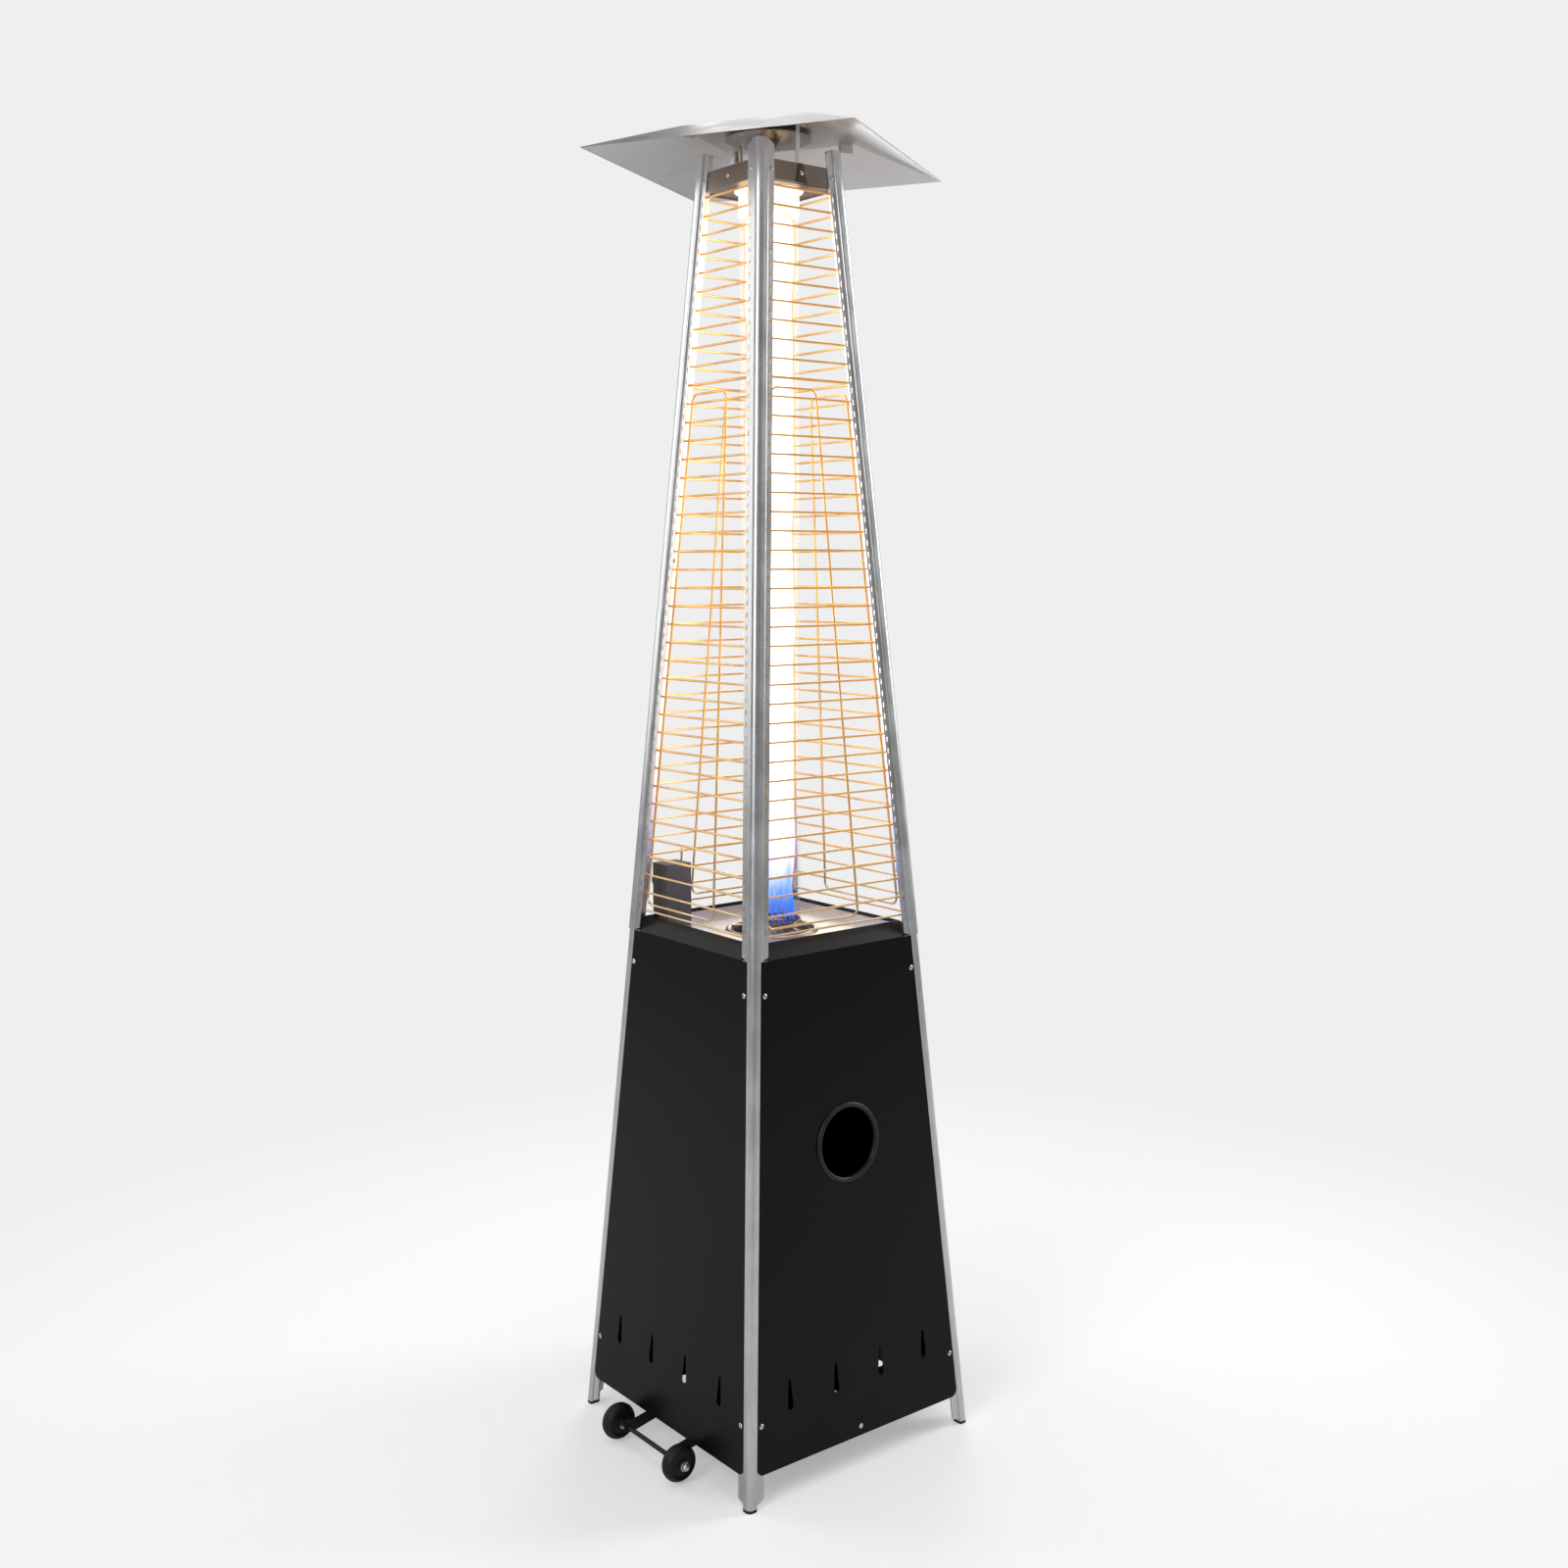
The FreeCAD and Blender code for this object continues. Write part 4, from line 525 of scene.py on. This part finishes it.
@dataclass(frozen=True)
class QuartzGlass(Finish):
    """Clear quartz: nearly nothing face on, brighter and orange towards its edges as painted flame
    light, with drawn lines.
    """

    clear: float
    edge: float
    body: Colour
    lit_edge: Colour

    def paint(self, sheet: ShaderSheet) -> Sock:
        """Return quartz.

        How solid it looks rises with the angle to the surface, and faint upright lines add
        to it. Towards the edges its colour turns orange: painted flame light.

        Args:
            sheet: The material being made.

        Returns:
            The shader.
        """
        facing = sheet.node("ShaderNodeLayerWeight", values={"Blend": 0.25}, output="Facing")
        drawn = sheet.noise(5.0, 2.0, sheet.stretched((60.0, 60.0, 0.6)))
        haze = sheet.span(drawn, 0.5, 0.8) * 0.05
        return sheet.principled(
            # Orange edge colour: painted flame light.
            Base_Color=sheet.mix(facing, self.body, self.lit_edge),
            Roughness=0.04 + haze,
            Alpha=(self.clear + facing ** 3.0 * self.edge + haze).clamped(),
            Normal=sheet.bump(drawn, 0.2 * MM, 0.3),
        )


@dataclass(frozen=True)
class Flame(Finish):
    """Burning gas: light that changes with height, and thins towards its edges or its middle."""

    stops: Stops
    low: float
    high: float
    strength: float
    body: float
    rim: float
    fade_in: float
    waver: float = 0.12
    foot_waver: float = 0.05

    def paint(self, sheet: ShaderSheet) -> Sock:
        """Return burning gas.

        The colour is a ramp on height between low and high, moved by rising noise. The
        cover goes from body, face on, to rim, edge on, and fades in over the first stretch.

        Args:
            sheet: The material being made.

        Returns:
            The shader.
        """
        rising = sheet.noise(6.0, 3.0, sheet.stretched((5.0, 5.0, 1.0)))
        height = (sheet.axis("Z") - self.low) / (self.high - self.low)
        light = sheet.ramp((height + (rising - 0.5) * self.waver).clamped(), self.stops)
        facing = sheet.node("ShaderNodeLayerWeight", values={"Blend": 0.5}, output="Facing")
        cover = self.body + facing * (self.rim - self.body)
        start = sheet.span(height + (rising - 0.5) * self.foot_waver, 0.0, self.fade_in)
        return sheet.principled(
            Base_Color=grey(0.0),
            Roughness=1.0,
            Specular_IOR_Level=0.0,
            Emission_Color=light,
            Emission_Strength=self.strength,
            Alpha=(cover * start).clamped(),
        )


BLACK_SHEET = PowderCoat(
    "black_sheet", (0.0052, 0.005, 0.0052, 1), (0.03, 0.028, 0.026, 1), 0.30, 0.4, 0.2,
    0.04 * MM, 0.18,
)
BLACK_FITTING = PowderCoat(
    "black_fitting", (0.008, 0.008, 0.0085, 1), (0.05, 0.046, 0.042, 1), 0.36, 0.2, 0.4
)
BLACK_SKIRT = PowderCoat(
    "black_skirt", (0.014, 0.014, 0.015, 1), (0.03, 0.028, 0.026, 1), 0.36, 0.3, 0.2, 0.07 * MM
)
GREY_HOUSING = PowderCoat(
    "grey_housing", (0.13, 0.126, 0.115, 1), (0.14, 0.13, 0.12, 1), 0.42, 0.3, 0.2
)
SILVER_POST = BrushedMetal(
    "silver_post", grey(0.82, -0.01), grey(0.66, -0.01), 0.34, Grain.ALONG_Z
)
SATIN_STEEL = BrushedMetal("satin_steel", grey(0.74, 0.02), grey(0.55, 0.02), 0.32, Grain.LEVEL)
DARK_STEEL = HeatedSteel(
    "dark_steel",
    ((0.0, (0.16, 0.12, 0.10, 1)), (0.5, (0.26, 0.20, 0.16, 1)), (1.0, (0.36, 0.32, 0.28, 1))),
    0.14, 0.36, Grain.LEVEL,
)
HOOD_STEEL = HeatedSteel(
    "hood_steel",
    (
        (0.0, (0.44, 0.33, 0.25, 1)), (0.28, (0.60, 0.52, 0.45, 1)),
        (0.5, (0.70, 0.67, 0.65, 1)), (1.0, (0.76, 0.75, 0.75, 1)),
    ),
    0.3, 0.3, Grain.ALONG_X,
)
DISC_STEEL = HeatedSteel(
    "disc_steel",
    (
        (0.0, (0.14, 0.12, 0.12, 1)), (0.4, (0.32, 0.28, 0.28, 1)),
        (0.75, (0.46, 0.41, 0.40, 1)), (1.0, (0.40, 0.36, 0.35, 1)),
    ),
    0.075, 0.28, Grain.EVEN,
)
DECK_STEEL = HeatedSteel(
    "deck_steel",
    (
        (0.0, (0.55, 0.43, 0.32, 1)), (0.45, (0.72, 0.62, 0.54, 1)),
        (0.65, (0.80, 0.75, 0.71, 1)), (1.0, (0.82, 0.79, 0.78, 1)),
    ),
    0.2, 0.38, Grain.ALONG_X, 160.0, 0.008 * MM, 0.10, 0.02,
)
BURNER_STEEL = HeatedSteel(
    "burner_steel",
    (
        (0.0, (0.20, 0.17, 0.20, 1)), (0.5, (0.36, 0.28, 0.22, 1)),
        (1.0, (0.55, 0.45, 0.34, 1)),
    ),
    0.085, 0.3, Grain.EVEN,
)
# Guard wire: straw near the flame is heat tint and painted flame light, with a faint painted glow.
BRIGHT_WIRE = GuardWire(
    "bright_wire", (0.80, 0.68, 0.52, 1), (0.97, 0.58, 0.20, 1), (0.62, 0.30, 0.13, 1), 0.24, 0.16
)
# Top ring of the tube: its straw colour and strong straw glow are painted flame light; the ring is no
# lamp.
FLAME_LIT_RING = GuardWire("hot_ring", grey(0.9), (1.0, 0.86, 0.64, 1), (1.0, 0.78, 0.5, 1), 0.3, 1.5)
BRIGHT_FASTENER = BrushedMetal(
    "bright_fastener", grey(0.82), grey(0.6), 0.24, Grain.EVEN, 60.0
)
BRASS = BrushedMetal(
    "brass", (0.80, 0.60, 0.28, 1), (0.55, 0.38, 0.16, 1), 0.28, Grain.EVEN, 60.0
)
BLACK_PLASTIC = Moulded("black_plastic", (0.008, 0.008, 0.008, 1), (0.05, 0.047, 0.043, 1), 0.36)
WHEEL_RUBBER = Moulded("wheel_rubber", (0.004, 0.004, 0.004, 1), (0.018, 0.017, 0.016, 1), 0.5)
ROD_DARK_TOP = 2.2085  # the hood rods are heat-darkened up to this height
ROD_STEEL = SplitSteel("rod_steel", grey(0.85), (0.13, 0.10, 0.085, 1), ROD_DARK_TOP, 0.2)
# The quartz's orange edge colour is painted flame light.
QUARTZ = QuartzGlass("quartz", 0.04, 0.5, grey(0.9), (1.0, 0.72, 0.42, 1))
CERAMIC = Ceramic("electrode_ceramic", (0.85, 0.82, 0.76, 1), (0.30, 0.2, 0.12, 1))


# ---- surfaces --------------------------------------------------------------------------


def mesh_piece(name: str, points: np.ndarray, faces: np.ndarray) -> bpy.types.Object:
    """Make a smooth mesh piece from arrays of points and four-sided faces.

    Args:
        name: The piece's name.
        points: The points, one row each.
        faces: Four point numbers for each face, in order round it, seen from outside.

    Returns:
        The piece, at the origin.
    """
    mesh = bpy.data.meshes.new(name)
    mesh.vertices.add(len(points))
    mesh.vertices.foreach_set("co", points.astype(np.float32).ravel())
    mesh.loops.add(faces.size)
    mesh.loops.foreach_set("vertex_index", faces.astype(np.int32).ravel())
    mesh.polygons.add(len(faces))
    mesh.polygons.foreach_set("loop_start", np.arange(0, faces.size, 4, dtype=np.int32))
    mesh.polygons.foreach_set("use_smooth", np.ones(len(faces), dtype=bool))
    mesh.update(calc_edges=True)
    mesh.validate()
    piece = bpy.data.objects.new(name, mesh)
    bpy.context.scene.collection.objects.link(piece)
    return piece


def tongues(centres: np.ndarray, radii: np.ndarray, around: int) -> tuple[np.ndarray, np.ndarray]:
    """Work out closed upright bodies, each a stack of rings.

    A point of ring k of body b at angle t is centres[b, k] + radii[b, k, t] (cos t, sin t, 0),
    and the first and last rings have radius zero, so that the body closes at its poles.

    Args:
        centres: Ring centres, one row of rings per body.
        radii: Ring radii, one value per body, ring and angle.
        around: Points in a ring.

    Returns:
        The points and the four-sided faces of all the bodies.
    """
    bodies, rings = centres.shape[:2]
    turn = np.linspace(0.0, 2 * np.pi, around, endpoint=False)
    spoke = np.stack([np.cos(turn), np.sin(turn), np.zeros(around)], axis=-1)
    points = centres[:, :, None, :] + radii[..., None] * spoke
    body, ring, step = np.meshgrid(
        np.arange(bodies), np.arange(rings - 1), np.arange(around), indexing="ij"
    )
    base = (body * rings + ring) * around
    after = (step + 1) % around
    corners = (base + step, base + after, base + around + after, base + around + step)
    faces = np.stack(corners, axis=-1).reshape(-1, 4)
    return points.reshape(-1, 3), faces


# ---- sub-assemblies --------------------------------------------------------------------


class Assembly(ABC):
    """A part of the heater that makes its new pieces and dresses its pieces of the frame."""

    body: str = "frame"

    @abstractmethod
    def finishes(self) -> dict[str, Finish]:
        """Return the finish of each piece of the frame that this assembly dresses."""

    def new_pieces(self) -> list[tuple[bpy.types.Object, Finish, str]]:
        """Return new pieces, each with its finish and material slot."""
        return []

    def build(self) -> None:
        """Dress the frame's pieces, then make, dress and attach the new ones."""
        for name, finish in self.finishes().items():
            self.dress(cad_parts[name], finish)
            log.info("dressed %s: %s", name, finish.name)
        for piece, finish, slot in self.new_pieces():
            self.dress(piece, finish)
            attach(piece, self.body)
            log.info("made %s: %s", piece.name, finish.name)

    @staticmethod
    def dress(piece: bpy.types.Object, finish: Finish) -> None:
        """Give every material slot of a piece the finish."""
        material = finish.material()
        if not piece.material_slots:
            piece.data.materials.append(material)
        for place in piece.material_slots:
            place.material = material


class Posts(Assembly):
    """The four corner posts, their feet and the fasteners along them."""

    def finishes(self) -> dict[str, Finish]:
        """Return the posts' finishes."""
        corners = ("front_left", "front_right", "rear_right", "rear_left")
        dressed: dict[str, Finish] = {f"upper_post_{corner}": SILVER_POST for corner in corners}
        dressed["lower_posts"] = SILVER_POST
        dressed["foot_plugs"] = BLACK_PLASTIC
        dressed["frame_screws"] = BRIGHT_FASTENER
        return dressed


class Cabinet(Assembly):
    """The black sheets round the bottle bay, the door and the tray."""

    def finishes(self) -> dict[str, Finish]:
        """Return the cabinet's finishes."""
        sheets = ("front_panel", "right_panel", "left_panel", "door_panel")
        dressed: dict[str, Finish] = {sheet: BLACK_SHEET for sheet in sheets}
        for name in ("hinge_leaves_fixed", "hinge_leaves_door", "door_catch", "bottle_tray"):
            dressed[name] = BLACK_FITTING
        dressed["door_handle"] = BLACK_PLASTIC
        dressed["port_ring"] = BLACK_PLASTIC
        dressed["panel_screws"] = BRIGHT_FASTENER
        return dressed


class Deck(Assembly):
    """The bright deck, the black skirt round it and the burner that stands in its hole."""

    def finishes(self) -> dict[str, Finish]:
        """Return the deck's finishes."""
        return {
            "deck_brackets": BLACK_FITTING,
            "deck_skirt": BLACK_SKIRT,
            "deck_plate": DECK_STEEL,
            "burner_collar": DECK_STEEL,
            "burner_pot": SATIN_STEEL,
            "mixer_tube": SATIN_STEEL,
            "burner_head": BURNER_STEEL,
            "tube_cradle": BURNER_STEEL,
            "gas_pipe": SATIN_STEEL,
            "gas_jet": BRASS,
            "gas_inlet": BRASS,
            "pilot_burner": BURNER_STEEL,
            "spark_electrode": CERAMIC,
            "thermocouple": BRASS,
            "tilt_switch": BLACK_PLASTIC,
        }


class Controls(Assembly):
    """The control box with its valve, knob and igniter."""

    def finishes(self) -> dict[str, Finish]:
        """Return the controls' finishes."""
        return {
            "control_box": GREY_HOUSING,
            "control_fascia": BLACK_PLASTIC,
            "gas_knob": BLACK_PLASTIC,
            "valve_spindle": BRASS,
            "knob_spring": BRIGHT_FASTENER,
            "gas_valve": BRASS,
            "igniter_barrel": BLACK_PLASTIC,
            "igniter_button": BLACK_PLASTIC,
        }


class Guards(Assembly):
    """The wire guards on the four faces and their clips."""

    def finishes(self) -> dict[str, Finish]:
        """Return the guards' finishes."""
        sides = ("front", "right", "rear", "left")
        dressed: dict[str, Finish] = {f"guard_{side}": BRIGHT_WIRE for side in sides}
        dressed["guard_clips"] = SATIN_STEEL
        return dressed


class Hood(Assembly):
    """The hood, its rods and disc, and the bars that tie the post tops."""

    def finishes(self) -> dict[str, Finish]:
        """Return the hood's finishes."""
        return {
            "hood": HOOD_STEEL,
            "hood_rods": ROD_STEEL,
            "heat_disc": DISC_STEEL,
            "deflector_cone": DARK_STEEL,
            "top_bars": DARK_STEEL,
            "top_plate": DARK_STEEL,
            # painted glow of flame light on the tube's top ring
            "tube_top_ring": FLAME_LIT_RING,
            "top_fasteners": BRIGHT_FASTENER,
        }


class Wheels(Assembly):
    """The two wheels on their fixed axle."""

    def finishes(self) -> dict[str, Finish]:
        """Return the wheels' finishes."""
        return {
            "wheel_front": WHEEL_RUBBER,
            "wheel_rear": WHEEL_RUBBER,
            "axle": BLACK_FITTING,
            "axle_nuts": BRIGHT_FASTENER,
            "wheel_brackets": BLACK_FITTING,
        }


@dataclass
class FlameTube(Assembly):
    """The quartz tube and the flame that rises through it.

    Heights are above the tube's lower end, and column_head is the gap below its upper end. The
    column is one body that widens from the burner to nearly the tube's bore, a thin orange
    sheath stands round it, and a crown of blue tongues sits on the burner. The foot and head
    of the column taper over one part in foot_taper and head_taper of its length.
    """

    column_foot: float = 0.012
    column_head: float = 0.006
    column_radius: float = 0.0400
    column_neck: float = 0.0365
    column_grow: float = 0.22
    foot_taper: float = 32
    head_taper: float = 60
    sheath_gap: float = 0.0030
    crown_foot: float = 0.002
    crown_radius: float = 0.0385
    crown_lean: float = 0.15
    crown_tongues: int = 20
    crown_height: float = 0.095
    tongue_width: float = 0.0072
    tongue_rings: int = 14
    tongue_around: int = 12
    column_rings: int = 160
    column_around: int = 64

    def finishes(self) -> dict[str, Finish]:
        """Return the tube's finish."""
        return {"quartz_tube": QUARTZ}

    def spread(self, share: np.ndarray, turn: np.ndarray) -> np.ndarray:
        """Work out the column's radius.

        It grows from the neck to the full radius as 1 - exp(-height / grow). The foot is
        rounded off by a fourth root and the head by a square root, and three low waves that
        climb round it move it by a few percent.

        Args:
            share: Heights from 0 to 1, as a column.
            turn: Angles, as a row.

        Returns:
            The radius at each height and angle, in metres.
        """
        grown = 1 - np.exp(-share * self.length() / self.column_grow)
        radius = self.column_neck + (self.column_radius - self.column_neck) * grown
        foot = np.clip(share * self.foot_taper, 0, 1) ** 0.25
        head = np.clip((1 - share) * self.head_taper, 0, 1) ** 0.5
        wave = (
            0.035 * np.sin(2 * turn + 23 * share)
            + 0.03 * np.sin(3 * turn - 37 * share + 1.1)
            + 0.02 * np.sin(turn + 61 * share + 2.3)
        )
        return radius * foot * head * (1 + wave)

    def length(self) -> float:
        """Return the column's length."""
        low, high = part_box("quartz_tube")
        return high.z - self.column_head - low.z - self.column_foot

    def column(self, name: str, gap: float) -> bpy.types.Object:
        """Make the flame's column, or a sheath that stands gap outside it."""
        low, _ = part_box("quartz_tube")
        share = np.linspace(0.0, 1.0, self.column_rings)
        turn = np.linspace(0.0, 2 * np.pi, self.column_around, endpoint=False)
        radii = self.spread(share[:, None], turn[None, :])
        radii = np.where(radii > 0, radii + gap * np.minimum(radii / self.column_neck, 1), 0)
        middle = np.zeros((1, self.column_rings, 3))
        middle[0, :, 2] = low.z + self.column_foot - gap + share * (self.length() + 2 * gap)
        return mesh_piece(name, *tongues(middle, radii[None], self.column_around))

    def crown(self) -> bpy.types.Object:
        """Make the blue tongues on the burner.

        Each tongue leans in towards the middle as it rises. Its radius at share s of its height
        is that of a teardrop, s to the power 0.6 times (1 - s) to the power 0.8.

        Returns:
            The tongues as one piece.
        """
        low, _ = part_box("quartz_tube")
        place = np.linspace(0.0, 2 * np.pi, self.crown_tongues, endpoint=False)
        share = np.linspace(0.0, 1.0, self.tongue_rings)[None, :]
        height = self.crown_height * (0.8 + 0.2 * np.sin(5 * place + 0.7))[:, None]
        reach = self.crown_radius * (1 - self.crown_lean * share ** 1.4)
        centres = np.stack(
            [
                reach * np.cos(place)[:, None],
                reach * np.sin(place)[:, None],
                low.z + self.crown_foot + share * height,
            ],
            axis=-1,
        )
        width = self.tongue_width * share ** 0.6 * (1 - share) ** 0.8
        radii = np.broadcast_to(
            width[:, :, None], (self.crown_tongues, self.tongue_rings, self.tongue_around)
        )
        return mesh_piece("flame_crown", *tongues(centres, radii, self.tongue_around))

    def new_pieces(self) -> list[tuple[bpy.types.Object, Finish, str]]:
        """Return the flame's pieces."""
        low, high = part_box("quartz_tube")
        core = Flame(
            "flame_core_light",
            (
                (0.0, (0.006, 0.03, 0.30, 1)), (0.05, (0.06, 0.13, 0.42, 1)),
                (0.09, (0.30, 0.30, 0.55, 1)), (0.15, (0.85, 0.72, 0.82, 1)),
                (0.22, (1.0, 0.92, 0.86, 1)),
                (0.75, (1.0, 0.92, 0.78, 1)), (1.0, (1.0, 0.88, 0.66, 1)),
            ),
            low.z, high.z, 4.4, 1.0, 0.8, 0.10,
        )
        sheath = Flame(
            "flame_sheath_light",
            (
                (0.0, (0.02, 0.08, 0.6, 1)), (0.10, (0.4, 0.35, 0.7, 1)),
                (0.2, (1.0, 0.55, 0.2, 1)), (1.0, (1.0, 0.50, 0.12, 1)),
            ),
            low.z, high.z, 1.4, 0.02, 0.6, 0.2,
        )
        crown = Flame(
            "flame_crown_light",
            (
                (0.0, (0.004, 0.04, 0.42, 1)), (0.45, (0.02, 0.13, 0.62, 1)),
                (1.0, (0.25, 0.4, 0.9, 1)),
            ),
            low.z, low.z + self.crown_height, 2.2, 0.35, 0.9, 0.15,
        )
        return [
            (self.column("flame_core", 0.0), core, "quartz"),
            (self.column("flame_sheath", self.sheath_gap), sheath, "quartz"),
            (self.crown(), crown, "quartz"),
        ]


# ---- stage -----------------------------------------------------------------------------


@dataclass
class Stage:
    """A white sweep, soft boxes round the heater, and the camera."""

    camera_turn: float = -38.12
    camera_distance: float = 3.0174
    camera_height: float = 1.5301
    camera_tilt: float = -4.85
    camera_roll: float = -0.26
    camera_lens: float = 39.464
    camera_sensor: float = 36.0
    camera_shift: tuple[float, float] = (0.0082, -0.0439)
    floor_half: float = 14.0
    floor_glow: float = 0.37
    floor_fade: tuple[float, float] = (0.7, 2.4)
    room_white: float = 0.86
    room_light: float = 0.22

    def camera(self) -> None:
        """Make the camera. It stands at a turn from the front and looks level, then tilts."""
        data = bpy.data.cameras.new("camera")
        data.lens = self.camera_lens
        data.sensor_width = self.camera_sensor
        data.shift_x, data.shift_y = self.camera_shift
        camera = bpy.data.objects.new("camera", data)
        turn = math.radians(self.camera_turn)
        facing = (
            Matrix.Rotation(turn, 4, "Z")
            @ Matrix.Rotation(math.radians(90 + self.camera_tilt), 4, "X")
            @ Matrix.Rotation(math.radians(self.camera_roll), 4, "Z")
        )
        place = Vector((math.sin(turn), -math.cos(turn), 0)) * self.camera_distance
        place.z = self.camera_height
        camera.matrix_world = Matrix.Translation(place) @ facing
        bpy.context.scene.collection.objects.link(camera)
        bpy.context.scene.camera = camera

    def softbox(
        self,
        name: str,
        turn: float,
        rise: float,
        away: float,
        size: tuple[float, float],
        watts: float,
    ) -> None:
        """Make a white area light that faces the middle of the heater.

        Args:
            name: The light's name.
            turn: Degrees round from the front.
            rise: Degrees above the horizon.
            away: Distance from the middle, in metres.
            size: Width and height, in metres.
            watts: Power.
        """
        data = bpy.data.lights.new(name, "AREA")
        data.shape = "RECTANGLE"
        data.size, data.size_y = size
        data.energy = watts
        light = bpy.data.objects.new(name, data)
        middle = (CAD_LOW + CAD_HIGH) / 2
        around, up = math.radians(turn), math.radians(rise)
        level = Vector((math.sin(around), -math.cos(around), 0))
        back = level * math.cos(up) + Vector((0, 0, math.sin(up)))
        light.location = middle + back * away
        light.rotation_euler = back.to_track_quat("Z", "Y").to_euler()
        bpy.context.scene.collection.objects.link(light)

    def floor(self) -> None:
        """Make a pale floor that turns to plain white further out."""
        half = self.floor_half
        points = np.array([(-half, -half, 0), (half, -half, 0), (half, half, 0), (-half, half, 0)])
        floor = mesh_piece("floor", points, np.array([[0, 1, 2, 3]]))
        sheet = ShaderSheet("floor_paper")
        tone = sheet.mix(sheet.noise(30.0, 3.0), grey(0.86), grey(0.9))
        paper = sheet.principled(Base_Color=tone, Roughness=0.9, Specular_IOR_Level=0.1)
        lifted = sheet.principled(
            Base_Color=tone,
            Roughness=0.9,
            Specular_IOR_Level=0.1,
            Emission_Color=grey(1.0),
            Emission_Strength=self.floor_glow,
        )
        white = sheet.node(
            "ShaderNodeEmission", values={"Color": grey(1.0), "Strength": self.room_white}
        )
        far = sheet.span(sheet.from_middle(), *self.floor_fade)
        seen = sheet.node("ShaderNodeMixShader", values={0: far, 1: lifted, 2: white})
        path = sheet.node("ShaderNodeLightPath", output="Is Camera Ray")
        surface = sheet.node("ShaderNodeMixShader", values={0: path, 1: paper, 2: seen})
        floor.data.materials.append(sheet.close(surface))

    def surroundings(self) -> None:
        """Make a white room for the camera, and a dimmer one for light and reflections."""
        world = bpy.data.worlds.new("room")
        world.use_nodes = True
        tree = world.node_tree
        tree.nodes.clear()
        seen = tree.nodes.new("ShaderNodeBackground")
        seen.inputs["Color"].default_value = grey(1.0)
        seen.inputs["Strength"].default_value = self.room_white
        lit = tree.nodes.new("ShaderNodeBackground")
        lit.inputs["Color"].default_value = (0.93, 0.96, 1.0, 1)
        lit.inputs["Strength"].default_value = self.room_light
        path = tree.nodes.new("ShaderNodeLightPath")
        both = tree.nodes.new("ShaderNodeMixShader")
        out = tree.nodes.new("ShaderNodeOutputWorld")
        tree.links.new(path.outputs["Is Camera Ray"], both.inputs[0])
        tree.links.new(lit.outputs[0], both.inputs[1])
        tree.links.new(seen.outputs[0], both.inputs[2])
        tree.links.new(both.outputs[0], out.inputs[0])
        bpy.context.scene.world = world

    def build(self) -> None:
        """Make everything round the heater."""
        self.camera()
        self.floor()
        self.surroundings()
        self.softbox("key", -72, 25, 4.2, (2.0, 2.8), 49)
        self.softbox("fill", 68, 20, 4.2, (1.4, 2.8), 58)
        self.softbox("back_left", 212, 18, 4.2, (1.8, 2.8), 26)
        self.softbox("back_right", 135, 25, 4.2, (1.6, 2.8), 34)
        self.softbox("top", 0, 90, 3.6, (3.0, 3.0), 27)
        bpy.context.scene.view_settings.view_transform = "Standard"
        log.info("stage ready")


def main() -> None:
    """Build the stage and every sub-assembly in order."""
    Stage().build()
    for assembly in (Posts(), Cabinet(), Deck(), Controls(), Guards(), Hood(), Wheels(), FlameTube()):
        assembly.build()


if __name__ == "__main__":
    main()
